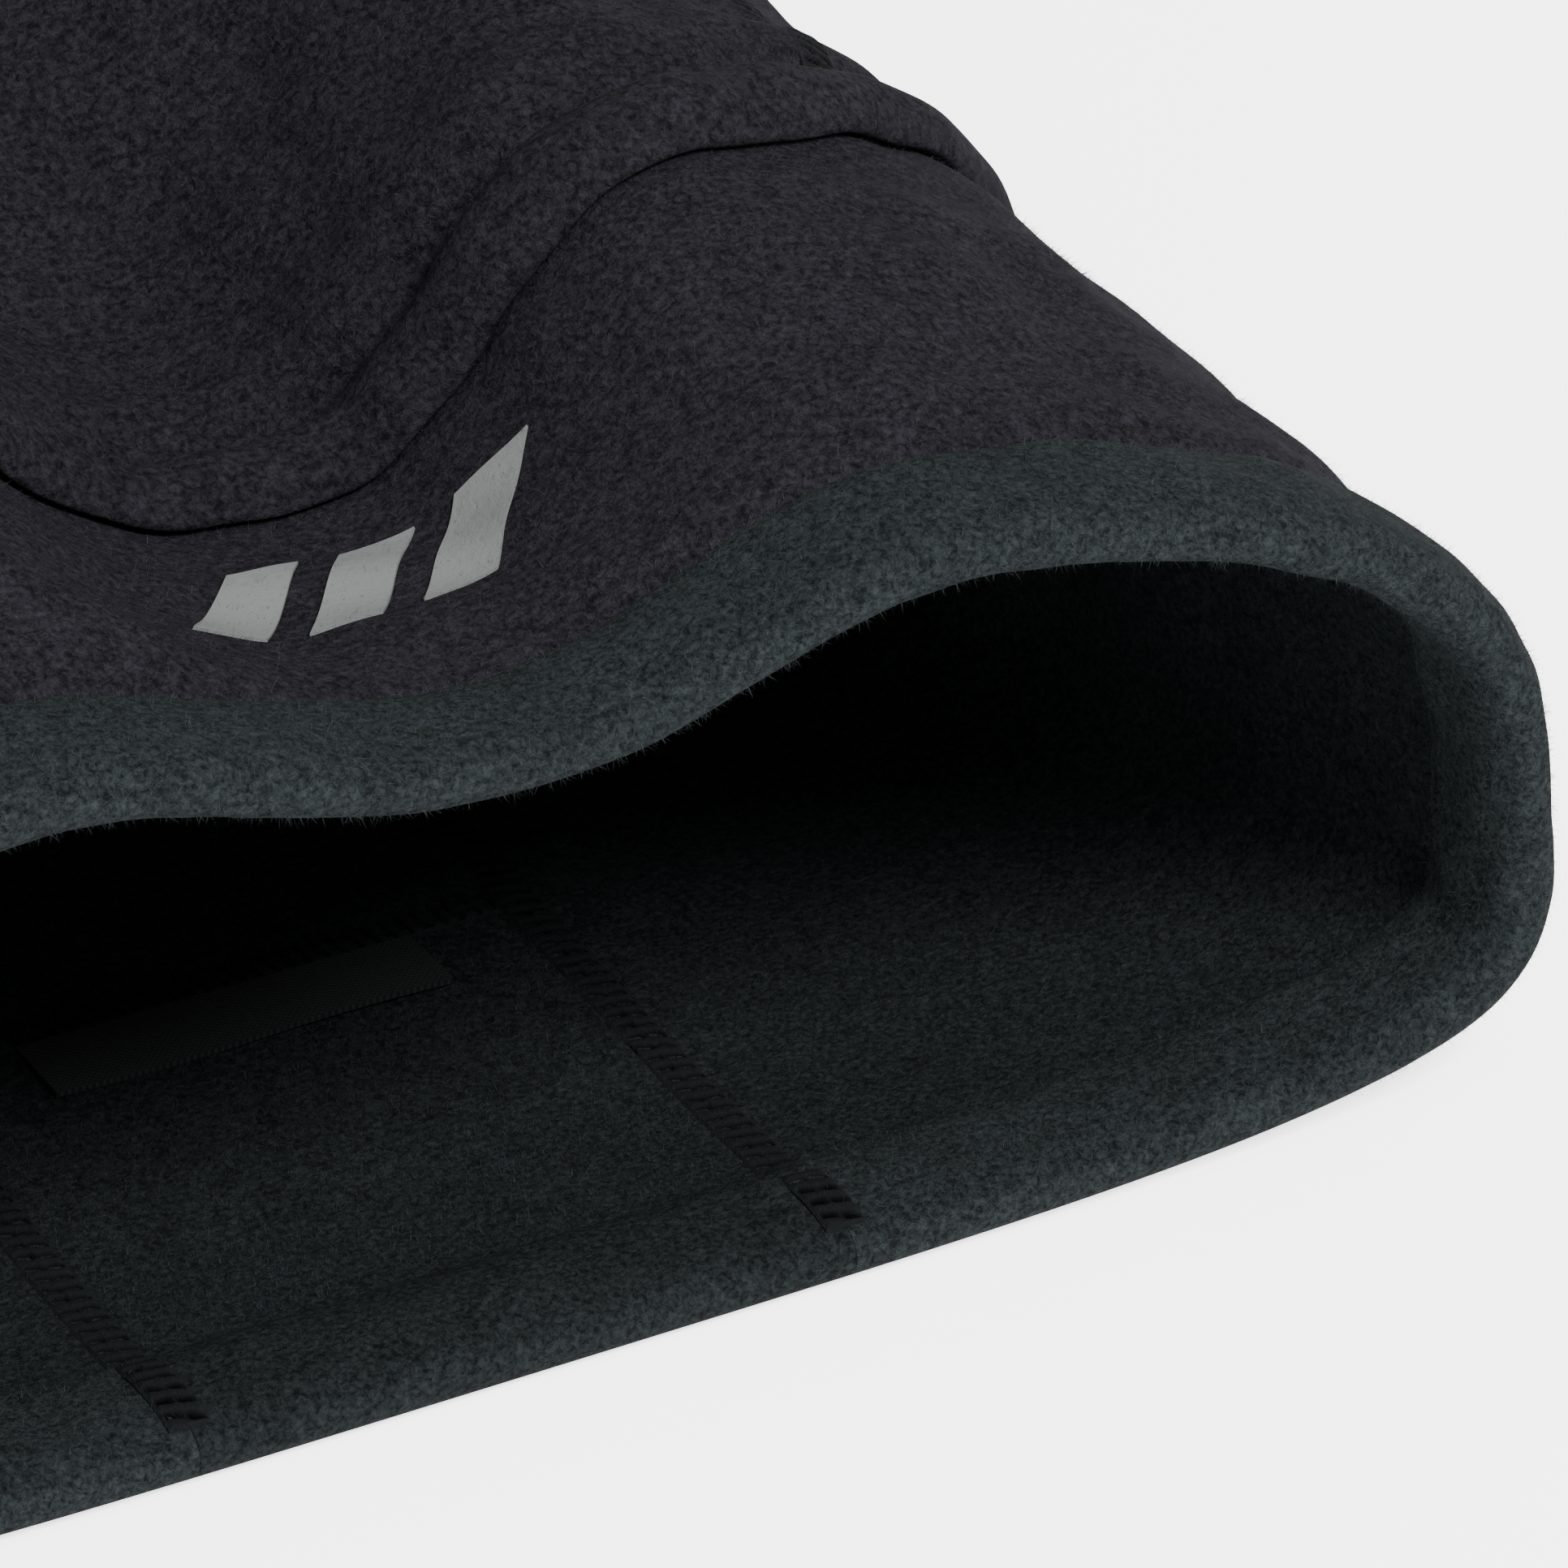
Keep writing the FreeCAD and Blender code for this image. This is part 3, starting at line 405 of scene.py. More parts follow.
    def ridge(self, points):
        """The soft fold that runs across the front of the neck."""
        path, height, width = FOLD_RIDGE
        x, y = points[..., 0], points[..., 1] - HEM
        near = np.full(x.shape, 1.0)
        for (ax, ay), (bx, by) in zip(path, path[1:]):
            run = np.array([bx - ax, by - ay])
            share = np.clip(((x - ax) * run[0] + (y - ay) * run[1]) / (run @ run), 0, 1)
            near = np.minimum(near, np.hypot(x - ax - share * run[0], y - ay - share * run[1]))
        begins = ease(x, path[0][0] - 0.02, path[0][0] + 0.01)
        ends = 1 - ease(x, path[-1][0] - 0.012, path[-1][0] + 0.016)
        in_front = points[..., 2] > self.hem_side_height
        return height * np.exp(-(near / width) ** 2) * begins * ends * in_front

    def place(self, points, offset, nose=False, puff=0.0):
        """The points moved off the form by offset, with the folds that all plies share."""
        lift = np.asarray(offset + puff + self.folds(points))
        moved = points + self.normals(points, nose) * lift[..., None]
        moved[..., 2] = np.maximum(moved[..., 2], 0.0)
        return moved


def mirrored(points):
    return points * np.array([-1.0, 1.0, 1.0])


# ---------------------------------------------------------------------------------------------
# Mesh tools
# ---------------------------------------------------------------------------------------------
def grid_mesh(rows, columns):
    """A flat grid whose vertices carry their row and column, as a bmesh."""
    bm = bmesh.new()
    bmesh.ops.create_grid(bm, x_segments=columns - 1, y_segments=rows - 1, size=0.5)
    place = bm.verts.layers.int.new("place")
    for vert in bm.verts:
        column = round((vert.co.x + 0.5) * (columns - 1))
        row = round((vert.co.y + 0.5) * (rows - 1))
        vert[place] = row * columns + column
    return bm, place


def finished(name, bm, look, body, nodes=(), slot=None, sharp=40):
    """An object from a bmesh, smooth apart from its sharp edges, riding on a body."""
    bmesh.ops.recalc_face_normals(bm, faces=bm.faces)
    mesh = bpy.data.meshes.new(name)
    bm.to_mesh(mesh)
    bm.free()
    mesh.shade_smooth()
    if sharp:
        mesh.set_sharp_from_angle(angle=math.radians(sharp))
    return dressed(name, mesh, look, body, nodes, slot)


def dressed(name, mesh, look, body, nodes=(), slot=None):
    """Puts a finished mesh in the scene with its material, body and the nodes it stands for; the slot is not
    used.
    """
    mesh.materials.clear()
    mesh.materials.append(look)
    made = bpy.data.objects.new(name, mesh)
    bpy.context.scene.collection.objects.link(made)
    if nodes:
        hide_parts(*nodes)
    if isinstance(body, str):
        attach(made, body)
    else:
        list(body)
        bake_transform(made)
    return made


def lay_uv(bm, place, flat):
    """Writes the flat place of every vertex, in metres, as the map called cloth."""
    layer = bm.loops.layers.uv.new("cloth")
    flat = flat.reshape(-1, 2)
    for face in bm.faces:
        for loop in face.loops:
            loop[layer].uv = flat[loop.vert[place]]


def flattened(points):
    """Distances along the rows and columns of a grid of points."""
    across = np.zeros(points.shape[:2])
    across[:, 1:] = np.cumsum(np.linalg.norm(np.diff(points, axis=1), axis=2), axis=1)
    across -= across[:, -1:] * 0.5
    along = np.zeros(points.shape[:2])
    along[1:] = np.cumsum(np.linalg.norm(np.diff(points, axis=0), axis=2), axis=0)
    return np.stack([across, np.broadcast_to(along.mean(axis=1, keepdims=True), along.shape)], -1)


def ply(name, outer, inner, look, body, nodes=(), slot=None, holes=None):
    """A ply of cloth between two grids of points, closed all round."""
    rows, columns = outer.shape[:2]
    bm, place = grid_mesh(rows, columns)
    outer_points, inner_points = outer.reshape(-1, 3), inner.reshape(-1, 3)
    if holes:
        flat = outer_points[:, :2]
        doomed = [face for face in bm.faces
                  if holes.inside(flat[[vert[place] for vert in face.verts]].mean(axis=0))]
        bmesh.ops.delete(bm, geom=doomed, context="FACES")
        for vert in bm.verts:
            if vert.is_boundary:
                index = vert[place]
                shift = holes.rounded(outer_points[index])
                outer_points[index, :2] += shift
                inner_points[index, :2] += shift
    lay_uv(bm, place, flattened(outer))
    first = list(bm.verts)
    made = bmesh.ops.extrude_face_region(bm, geom=bm.faces[:], use_keep_orig=True)
    second = [item for item in made["geom"] if isinstance(item, bmesh.types.BMVert)]
    for vert in first:
        vert.co = outer_points[vert[place]]
    for vert in second:
        vert.co = inner_points[vert[place]]
    bmesh.ops.remove_doubles(bm, verts=bm.verts, dist=0.004 * MM)
    return finished(name, bm, look, body, nodes, slot)


def roll(name, points, look, body, nodes=(), slot=None, ring=False, sharp=0):
    """A rolled edge: rows go round its section, columns run along it, capped unless it is a ring."""
    rows, columns = points.shape[:2]
    bm, place = grid_mesh(rows + 1, columns + ring)
    wrapped = np.concatenate([points, points[:1]], axis=0)
    if ring:
        wrapped = np.concatenate([wrapped, wrapped[:, :1]], axis=1)
    lay_uv(bm, place, flattened(wrapped))
    flat = wrapped.reshape(-1, 3)
    for vert in bm.verts:
        vert.co = flat[vert[place]]
    bmesh.ops.remove_doubles(bm, verts=bm.verts, dist=0.002 * MM)
    rims = [edge for edge in bm.edges if edge.is_boundary]
    if rims:
        bmesh.ops.holes_fill(bm, edges=rims, sides=0)
    return finished(name, bm, look, body, nodes, slot, sharp or 60)


def smooth_loop(points, rounds=2):
    """A closed run of points with its corners cut, so that it reads as a soft section."""
    points = np.array(points, float) * MM
    for _ in range(rounds):
        after = np.roll(points, -1, axis=0)
        points = np.stack([0.75 * points + 0.25 * after, 0.25 * points + 0.75 * after], 1)
        points = points.reshape(-1, points.shape[-1])
    return points


def nap(name, surface, look, body, seed, height, lean, normals, doublings, thick=0.055, weight=None):
    """Thousands of fine fibres that stand on a grid of points and lean its way."""
    random = np.random.default_rng(seed)
    bm = bmesh.new()
    copy, corner = bm.verts.layers.int.new("copy"), bm.verts.layers.int.new("corner")
    bmesh.ops.create_cone(bm, cap_ends=True, segments=3, radius1=1.0, radius2=0.0, depth=1.0)
    bmesh.ops.remove_doubles(bm, verts=bm.verts, dist=0.001)
    for index, vert in enumerate(bm.verts):
        vert[corner] = index
    shape = np.array([vert.co for vert in bm.verts])
    for doubling in range(doublings):
        made = bmesh.ops.duplicate(bm, geom=bm.verts[:] + bm.edges[:] + bm.faces[:])
        for item in made["geom"]:
            if isinstance(item, bmesh.types.BMVert):
                item[copy] += 2 ** doubling
    count = 2 ** doublings
    which = [(vert[copy], vert[corner]) for vert in bm.verts]
    mesh = bpy.data.meshes.new(name)
    bm.to_mesh(mesh)
    bm.free()
    first = surface[:-1, :-1]
    sides = surface[:-1, 1:] - first, surface[1:, :-1] - first
    area = np.linalg.norm(np.cross(*sides), axis=-1)
    if weight is not None:
        area = area * weight[:-1, :-1]
    area = area.ravel() / area.sum()
    cells = random.choice(len(area), size=count, p=area)
    row, column = np.divmod(cells, first.shape[1])
    a, b = random.uniform(size=(2, count, 1))
    root = (surface[row, column] * (1 - a) * (1 - b) + surface[row, column + 1] * a * (1 - b)
            + surface[row + 1, column] * (1 - a) * b + surface[row + 1, column + 1] * a * b)
    out = normals[row, column]
    lay = random.normal(size=(count, 3)) * 0.8 + np.asarray(lean)
    way = out * random.uniform(0.18, 0.75, (count, 1)) + lay * 0.62
    way /= np.linalg.norm(way, axis=1, keepdims=True)
    inward = (way * out).sum(1, keepdims=True)
    way = way + out * np.maximum(0.06 - inward, 0.0)
    side = np.cross(way, out + 0.1 * random.normal(size=(count, 3)))
    side /= np.linalg.norm(side, axis=1, keepdims=True)
    other = np.cross(way, side)
    long = height * random.uniform(0.45, 1.35, (count, 1, 1))
    half = 0.5 * thick * MM * random.uniform(0.7, 1.3, (count, 1, 1))
    placed = (root[:, None] - out[:, None] * 0.12 * MM + way[:, None] * (shape[:, 2:] + 0.5) * long
              + side[:, None] * shape[:, :1] * half + other[:, None] * shape[:, 1:2] * half)
    placed[..., 2] = np.maximum(placed[..., 2], 0.0)
    which = np.array(which)
    mesh.vertices.foreach_set("co", placed[which[:, 0], which[:, 1]].ravel())
    mesh.update()
    return dressed(name, mesh, look, body)


# ---------------------------------------------------------------------------------------------
# Materials
# ---------------------------------------------------------------------------------------------
WAVE_GAIN = 20.0                    # the Wave texture multiplies its coordinates by this


class Wire:
    """A value in a material; the usual signs add its Math nodes."""

    def __init__(self, look, socket):
        self.look, self.socket = look, socket

    def sum_of(self, operation, first, second):
        node = self.look.node("ShaderNodeMath", {"operation": operation}, {0: first, 1: second})
        return Wire(self.look, node.outputs[0])

    def __add__(self, other):
        return self.sum_of("ADD", self, other)

    def __rsub__(self, other):
        return self.sum_of("SUBTRACT", other, self)

    def __mul__(self, other):
        return self.sum_of("MULTIPLY", self, other)

    __radd__ = __add__
    __rmul__ = __mul__


class Look:
    """A material with one Principled shader, built up from procedural nodes."""

    def __init__(self, name, **constants):
        self.material = bpy.data.materials.new(name)
        self.material.use_nodes = True
        self.tree = self.material.node_tree
        self.tree.nodes.clear()
        self.shader = self.node("ShaderNodeBsdfPrincipled", {}, constants)
        self.node("ShaderNodeOutputMaterial", {}, {"Surface": self.shader.outputs[0]})

    def node(self, kind, settings, values):
        made = self.tree.nodes.new(kind)
        stops = settings.pop("stops", None)
        for name, value in settings.items():
            setattr(made, name, value)
        if stops:
            ramp = made.color_ramp
            while len(ramp.elements) < len(stops):
                ramp.elements.new(0.5)
            for element, (place, grey) in zip(ramp.elements, stops):
                element.position = place
                element.color = (grey, grey, grey, 1.0)
        for key, value in values.items():
            socket = made.inputs[key]
            if isinstance(value, Wire):
                value = value.socket
            if isinstance(value, bpy.types.NodeSocket):
                self.tree.links.new(value, socket)
            elif socket.type == "RGBA":
                socket.default_value = (*value, 1.0)
            else:
                socket.default_value = value
        return made

    def place(self, stretch, turn=(0, 0, 0), uv=False):
        """Object coordinates, or the cloth's own map, scaled by stretch."""
        if uv:
            source = self.node("ShaderNodeUVMap", {"uv_map": "cloth"}, {}).outputs[0]
        else:
            source = self.node("ShaderNodeTexCoord", {}, {}).outputs["Object"]
        mapping = self.node("ShaderNodeMapping", {}, {"Vector": source, "Scale": stretch,
                                                      "Rotation": turn})
        return mapping.outputs[0]

    def noise(self, stretch, detail=2.0, rough=0.55, warp=0.0, uv=False, turn=(0, 0, 0)):
        made = self.node("ShaderNodeTexNoise", {}, {
            "Vector": self.place(stretch, turn, uv), "Scale": 1.0, "Detail": detail,
            "Roughness": rough, "Distortion": warp})
        return Wire(self, made.outputs["Fac"])

    def wave(self, pitch, along="X", warp=0.0):
        """Even ribs on the cloth's own map, pitch apart."""
        made = self.node("ShaderNodeTexWave", {"bands_direction": along}, {
            "Vector": self.place((1 / (WAVE_GAIN * pitch),) * 3, uv=True),
            "Scale": 2 * math.pi, "Distortion": warp})
        return Wire(self, made.outputs["Fac"])

    def ramp(self, value, *stops):
        made = self.node("ShaderNodeValToRGB", {"stops": stops}, {0: value})
        return Wire(self, made.outputs[0])

    def attribute(self, name):
        made = self.node("ShaderNodeAttribute", {"attribute_name": name}, {})
        return Wire(self, made.outputs["Fac"])

    def mix(self, share, low, high):
        made = self.node("ShaderNodeMix", {"data_type": "RGBA"}, {0: share, 6: low, 7: high})
        return made.outputs[2]

    def paint(self, base, height=None, depth=0.5 * MM, strength=1.0, roughness=None):
        self.tree.links.new(base, self.shader.inputs["Base Color"])
        if roughness is not None:
            self.tree.links.new(roughness.socket, self.shader.inputs["Roughness"])
        if height is not None:
            bump = self.node("ShaderNodeBump", {}, {"Height": height, "Distance": depth,
                                                    "Strength": strength})
            self.tree.links.new(bump.outputs[0], self.shader.inputs["Normal"])
        return self.material


def scaled(value, factor):
    return tuple(min(1.0, channel * factor) for channel in value)


def fleece(name, value, clump=0.85, contrast=1.0, depth=1.1, sheen=0.012):
    """Brushed fleece: matted clumps of nap, fine fibre streaks and slow random shifts of tone, with the
    colour painted darker in the hollows of the nap as shade and lighter on its tufts as light.
    """
    look = Look(name, **{"Roughness": 0.96, "Specular IOR Level": 0.02, "Sheen Weight": sheen,
                         "Sheen Roughness": 0.5, "Sheen Tint": scaled(value, 22.0)})
    per = 1.0 / (clump * MM)
    clumps = look.noise((per, per, per), detail=4.0, rough=0.66, warp=0.5)
    tufts = look.noise((0.4 * per, 0.4 * per, 0.4 * per), detail=2.0, rough=0.6, warp=0.6)
    streaks = look.noise((3.0 * per, 1.3 * per, 3.0 * per), detail=1.0, warp=1.8)
    cross = look.noise((1.4 * per, 3.2 * per, 1.7 * per), detail=1.0, warp=1.9)
    patches = look.noise((95.0, 70.0, 95.0), detail=2.0)
    height = clumps * 0.58 + tufts * 0.14 + streaks * 0.15 + cross * 0.13
    # The colour follows the bump height: the clumps give random tone, and the hollows carry painted shade and
    # the tufts painted light.
    light = look.ramp(height, (0.40, 0.0), (0.50, 0.42), (0.62, 1.0))
    shade = look.ramp(patches, (0.3, 0.0), (0.7, 1.0))
    low = look.mix(shade, scaled(value, 0.94 * (1 - 0.66 * contrast)),
                   scaled(value, 1.06 * (1 - 0.66 * contrast)))
    high = look.mix(shade, scaled(value, 0.94 * (1 + 0.95 * contrast)),
                    scaled(value, 1.06 * (1 + 0.95 * contrast)))
    return look.paint(look.mix(light, low, high), height, depth * MM)


def fibre(name, value, sheen=0.012):
    """Loose fibre ends of the nap, painted lighter than the cloth they stand on as light catching their tips.
    """
    look = Look(name, **{"Roughness": 0.85, "Specular IOR Level": 0.06, "Sheen Weight": sheen,
                         "Sheen Roughness": 0.4, "Sheen Tint": scaled(value, 22.0)})
    vary = look.noise((700.0, 700.0, 700.0), detail=1.0)
    return look.paint(look.mix(vary, scaled(value, 1.0), scaled(value, 3.0)))


def stitching(name, value, fleece_value):
    """Ladder stitching: thread rungs with the slots between them painted near black as shade, fluffed by the
    fleece.
    """
    look = Look(name, **{"Roughness": 0.9, "Specular IOR Level": 0.03, "Sheen Weight": 0.012,
                         "Sheen Roughness": 0.5, "Sheen Tint": scaled(fleece_value, 12.0)})
    slot = look.attribute("slot")
    rung = look.attribute("rung")
    fuzz = look.noise((1500.0, 1500.0, 1500.0), detail=2.0, rough=0.6, warp=1.0)
    twist = look.noise((5200.0, 1300.0, 5200.0), detail=1.0, turn=(0, 0, 0.7))
    cloth = look.mix(fuzz, scaled(fleece_value, 0.4), scaled(fleece_value, 1.1))
    thread = look.mix(twist, scaled(value, 0.6), scaled(value, 1.7))
    both = look.mix(rung * (0.55 + 0.45 * fuzz), cloth, thread)
    # The slots between the rungs are painted near black: painted shade in the gaps of the seam.
    painted_slot_shade = look.mix(slot, both, scaled(value, 0.04))
    return look.paint(painted_slot_shade, fuzz * 0.6 + twist * 0.4 * rung, 0.35 * MM)


def knit(name, value, pitch=1.5, depth=0.35):
    """Fine ribbed knit that follows the cloth's own map."""
    look = Look(name, **{"Roughness": 0.88, "Specular IOR Level": 0.05, "Sheen Weight": 0.015,
                         "Sheen Roughness": 0.5, "Sheen Tint": scaled(value, 22.0)})
    rib = look.wave(pitch * MM, "X", 0.6)
    loop = look.wave(0.62 * pitch * MM, "Y", 0.9)
    fuzz = look.noise((2600.0, 2600.0, 2600.0), detail=2.0)
    height = rib * 0.55 + loop * 0.2 + fuzz * 0.25
    return look.paint(look.mix(look.ramp(height, (0.25, 0.0), (0.8, 1.0)), scaled(value, 0.5),
                               scaled(value, 1.6)), height, depth * MM)


def woven(name, value, pitch=0.8):
    """Plain weave: warp and weft threads over and under each other."""
    look = Look(name, **{"Roughness": 0.82, "Specular IOR Level": 0.06, "Sheen Weight": 0.012,
                         "Sheen Roughness": 0.5})
    warp, weft = look.wave(pitch * MM, "X", 0.15), look.wave(pitch * MM, "Y", 0.15)
    fuzz = look.noise((2400.0, 2400.0, 2400.0), detail=2.0)
    height = warp * weft * 0.5 + (1 - warp) * (1 - weft) * 0.5 + fuzz * 0.3
    return look.paint(look.mix(look.ramp(height, (0.1, 0.0), (0.7, 1.0)), scaled(value, 0.45),
                               scaled(value, 1.5)), height, 0.25 * MM)


def film(name, value):
    """Matte reflective film pressed into the nap, with a fine glitter of beads and worn spots."""
    look = Look(name, **{"Specular IOR Level": 0.35})
    beads = look.noise((6500.0, 6500.0, 6500.0), detail=1.0)
    press = look.noise((850.0, 620.0, 850.0), detail=3.0, rough=0.6, warp=0.8)
    worn = look.ramp(press, (0.26, 0.0), (0.40, 1.0))
    face = look.mix(beads, scaled(value, 0.9), scaled(value, 1.12))
    return look.paint(look.mix(worn, scaled(value, 0.85), face), press * 0.7 + beads * 0.3,
                      0.18 * MM, roughness=0.42 + 0.2 * beads)


def tape(name, value, hooks):
    """Hook or loop tape: a field of tiny hooks in rows, or of tangled loops."""
    look = Look(name, **{"Roughness": 0.6 if hooks else 0.92, "Specular IOR Level": 0.15,
                         "Sheen Weight": 0.01 if hooks else 0.02, "Sheen Roughness": 0.4})
    if hooks:
        height = look.wave(2.0 * MM, "X") * look.wave(1.6 * MM, "Y")
    else:
        height = look.noise((1500.0, 1500.0, 1500.0), detail=2.5, rough=0.65, warp=2.2)
    return look.paint(look.mix(height, scaled(value, 0.45), scaled(value, 1.8)), height, 0.6 * MM)


LOOKS = {}


def look(key):
    """A material, made the first time that a piece asks for it."""
    if key not in LOOKS:
        tones = bpy.context.scene.fleece_colours
        # The back hem and its seam get the hem fleece darkened to 0.78: painted shade for the back of the
        # hem, which lies in the shade of the hood.
        hem_with_painted_shade = scaled(tones.hem, 0.78)
        makers = {
            "outer": lambda: fleece("outer_fleece", tones.outer),
            "mask": lambda: fleece("mask_fleece", scaled(tones.outer, 0.9), clump=0.9),
            "inner": lambda: fleece("inner_fleece", tones.inner, clump=0.72),
            "hem_back": lambda: fleece("back_hem_fleece", hem_with_painted_shade, clump=0.72, depth=0.9),
            "hem": lambda: fleece("turned_hem_fleece", tones.hem, clump=0.72, depth=0.9),
            # Fibre ends get a lighter copy of their cloth's colour: painted light on the fibre tips.
            "outer_fibre": lambda: fibre("outer_fibre", scaled(tones.outer, 1.35)),
            "inner_fibre": lambda: fibre("inner_fibre", scaled(tones.inner, 1.2)),
            "hem_fibre": lambda: fibre("hem_fibre", scaled(tones.hem, 1.2)),
            "thread": lambda: stitching("seam_thread", tones.thread, tones.inner),
            "hem_thread": lambda: stitching("hem_thread", tones.thread, hem_with_painted_shade),
            "flat_thread": lambda: stitching("flatlock_thread", tones.thread, tones.outer),
            "knit": lambda: knit("stretch_binding", tones.knit),
            "elastic": lambda: knit("elastic_band", tones.elastic, pitch=1.9),
            "label": lambda: woven("woven_label", tones.label),
            "film": lambda: film("reflective_film", tones.film),
            "loops": lambda: tape("loop_tape", tones.tape, False),
            "hooks": lambda: tape("hook_tape", tones.tape, True),
        }
        LOOKS[key] = makers[key]()
    return LOOKS[key]


# ---------------------------------------------------------------------------------------------
# Surfaces that several pieces share
# ---------------------------------------------------------------------------------------------
MASK_REACH = (0.060, 0.255)         # distances from the hem between which mask columns run
TOP_EDGE_SPREAD = 0.7               # reach of the nose rise, as a share of the wing seam's x


class Pattern:
    """The form and the cloth sizes together: where every panel, edge and seam runs."""

    def __init__(self, context):
        self.form = Form(context.scene.form_sizes)
        self.cloth = context.scene.cloth_sizes
        self.cuts = context.scene.cut_sizes
        self.gap = 0.5 * self.cloth.seam_gap
        self.touch = 0.03 * MM

    def neck_row(self, y, columns, gap=None):
        """The neck from one edge of the centre strip round the front to the other."""
        edge = self.cloth.strip_half_width + (self.gap if gap is None else gap)
        half = self.form.around(y, ("back", edge), ("front", 0.0), np.linspace(0.0, 1.0, columns))
        return np.concatenate([half, mirrored(half[-2::-1])])

    def billow(self, points):
        """How far the neck swells just beyond the turned hem."""
        beyond = points[..., 1] - HEM - self.cloth.hem_depth
        return BILLOW_HEIGHT * np.exp(-((beyond - BILLOW_AWAY) / BILLOW_WIDTH) ** 2)

    def opening_half(self, y):
        """Half width of the face opening at a distance from the hem."""
        cloth = self.cloth
        middle = 0.5 * (cloth.opening_top_y + cloth.opening_bottom_y)
        half = 0.5 * (cloth.opening_top_y - cloth.opening_bottom_y)
        inside = 1.0 - ((y - middle) / half) ** 2
        return cloth.opening_half_width * math.sqrt(max(inside, 0.0))

    def opening_ring(self, shrink, steps):
        """The edge of the face opening in plan, smaller all round by shrink."""
        cloth = self.cloth
        angle = np.linspace(0, 2 * math.pi, steps, endpoint=False)
        middle = 0.5 * (cloth.opening_top_y + cloth.opening_bottom_y)
        half = 0.5 * (cloth.opening_top_y - cloth.opening_bottom_y) - shrink
        return ((cloth.opening_half_width - shrink) * np.sin(angle), middle - half * np.cos(angle))

    def brow_y(self, x):
        """Where the brow edge of the face opening is, over x."""
        cloth = self.cloth
        across = abs(x) / cloth.opening_half_width
        half = 0.5 * (cloth.opening_top_y - cloth.opening_bottom_y)
        return 0.5 * (cloth.opening_top_y + cloth.opening_bottom_y) + half * math.sqrt(1 - across ** 2)

    def hem_edge(self, x):
        """The lower edge of the mask over x."""
        return self.cloth.mask_hem_y + self.cloth.mask_hem_rise * (x / self.form.hem_half_width) ** 2

    def top_edge(self, x):
        """The nose edge of the mask over x."""
        spread = TOP_EDGE_SPREAD * self.cloth.wing_seam_x
        return self.cloth.mask_top_y - self.cloth.mask_top_drop * (1 - np.exp(-(x / spread) ** 2))

    def mask_columns(self, hand, count):
        """Tables of x and z against y for the columns of the mask front or of a wing."""
        table = np.linspace(*MASK_REACH, 90)
        seam = self.cloth.wing_seam_x
        if hand is None:
            x = np.broadcast_to(np.linspace(self.touch - seam, seam - self.touch, count)[:, None],
                                (count, len(table)))
            return table, x, self.form.front(x, table[None, :], True)[..., 2]
        shares = np.linspace(0.0, 1.0, count)
        rows = np.stack([self.form.around(y, ("front", seam + self.touch),
                                          ("height", self.cloth.wing_end_z), shares, True)
                         for y in table], axis=1)
        return table, rows[..., 0] * HANDS[hand], rows[..., 2]

    def mask_row(self, columns, edge, shift):
        """Points across the mask at a distance past one of its edges."""
        table, x, z = columns
        row = []
        for column_x, column_z in zip(x, z):
            y = edge(column_x[0]) + shift
            for _ in range(7):
                y = edge(np.interp(y, table, column_x)) + shift
            row.append((np.interp(y, table, column_x), y + HEM, np.interp(y, table, column_z)))
        return np.array(row)

    def mask_cloth(self, columns, rows):
        """The mask between its hem band and its top binding."""
        low = self.mask_row(columns, self.hem_edge, self.cloth.mask_hem_width - 0.6 * MM)
        high = self.mask_row(columns, self.top_edge, -self.cloth.mask_binding_width + 0.6 * MM)
        table, x, z = columns
        grid = []
        for share in np.linspace(0.0, 1.0, rows):
            y = low[:, 1] + share * (high[:, 1] - low[:, 1])
            grid.append([(np.interp(v - HEM, table, cx), v, np.interp(v - HEM, table, cz))
                         for v, cx, cz in zip(y, x, z)])
        return np.array(grid)

    def mask_puff(self, points):
        """Extra looseness of the mask cloth, away from its edges."""
        y, x = points[..., 1] - HEM, points[..., 0]
        away = ease(y - self.hem_edge(x), self.cloth.mask_hem_width, 0.035)
        away = away * ease(self.top_edge(x) - y, 0.006, 0.03)
        beyond = y - self.hem_edge(x) - self.cloth.mask_hem_width
        tucked = np.exp(-(beyond / (3.0 * MM)) ** 2)
        swell = np.exp(-((beyond - 9.5 * MM) / (4.5 * MM)) ** 2)
        loose = 0.8 + 0.6 * RIPPLE(points * 1.7 + 0.3)
        return (away * loose + 1.2 * swell - 1.1 * tucked) * MM

    def mask_pinch(self, points):
        """How much thinner the outer cloth is where the hem band is sewn on."""
        beyond = points[..., 1] - HEM - self.hem_edge(points[..., 0]) - self.cloth.mask_hem_width
        return -0.9 * MM * np.exp(-((beyond - 1.0 * MM) / (2.8 * MM)) ** 2)

    def wing_body(self, hand):
        """Names and end points of the bend from the mask to a wing, beside the wing seam; pieces given it are
        not bent or attached to a body.
        """
        seam, bend = self.cloth.wing_seam_x, self.cloth.wing_bend
        start = (HANDS[hand] * (seam - 0.001), 0.0, 0.085)
        end = (HANDS[hand] * (seam + bend), 0.0, 0.085 - 0.55 * bend)
        return ("mask", "wing_" + hand, start, end)


RUNG_LEAN = 0.13                    # share of a pitch that a slot leans over one millimetre
SLOT_HALF = 0.30                    # half a slot, as a share of the pitch
SLOT_DEPTH = 0.5                    # how far a slot cuts into the seam, in millimetres
SEAM_FLOOR = -0.12                  # lowest height of the seam, in millimetres


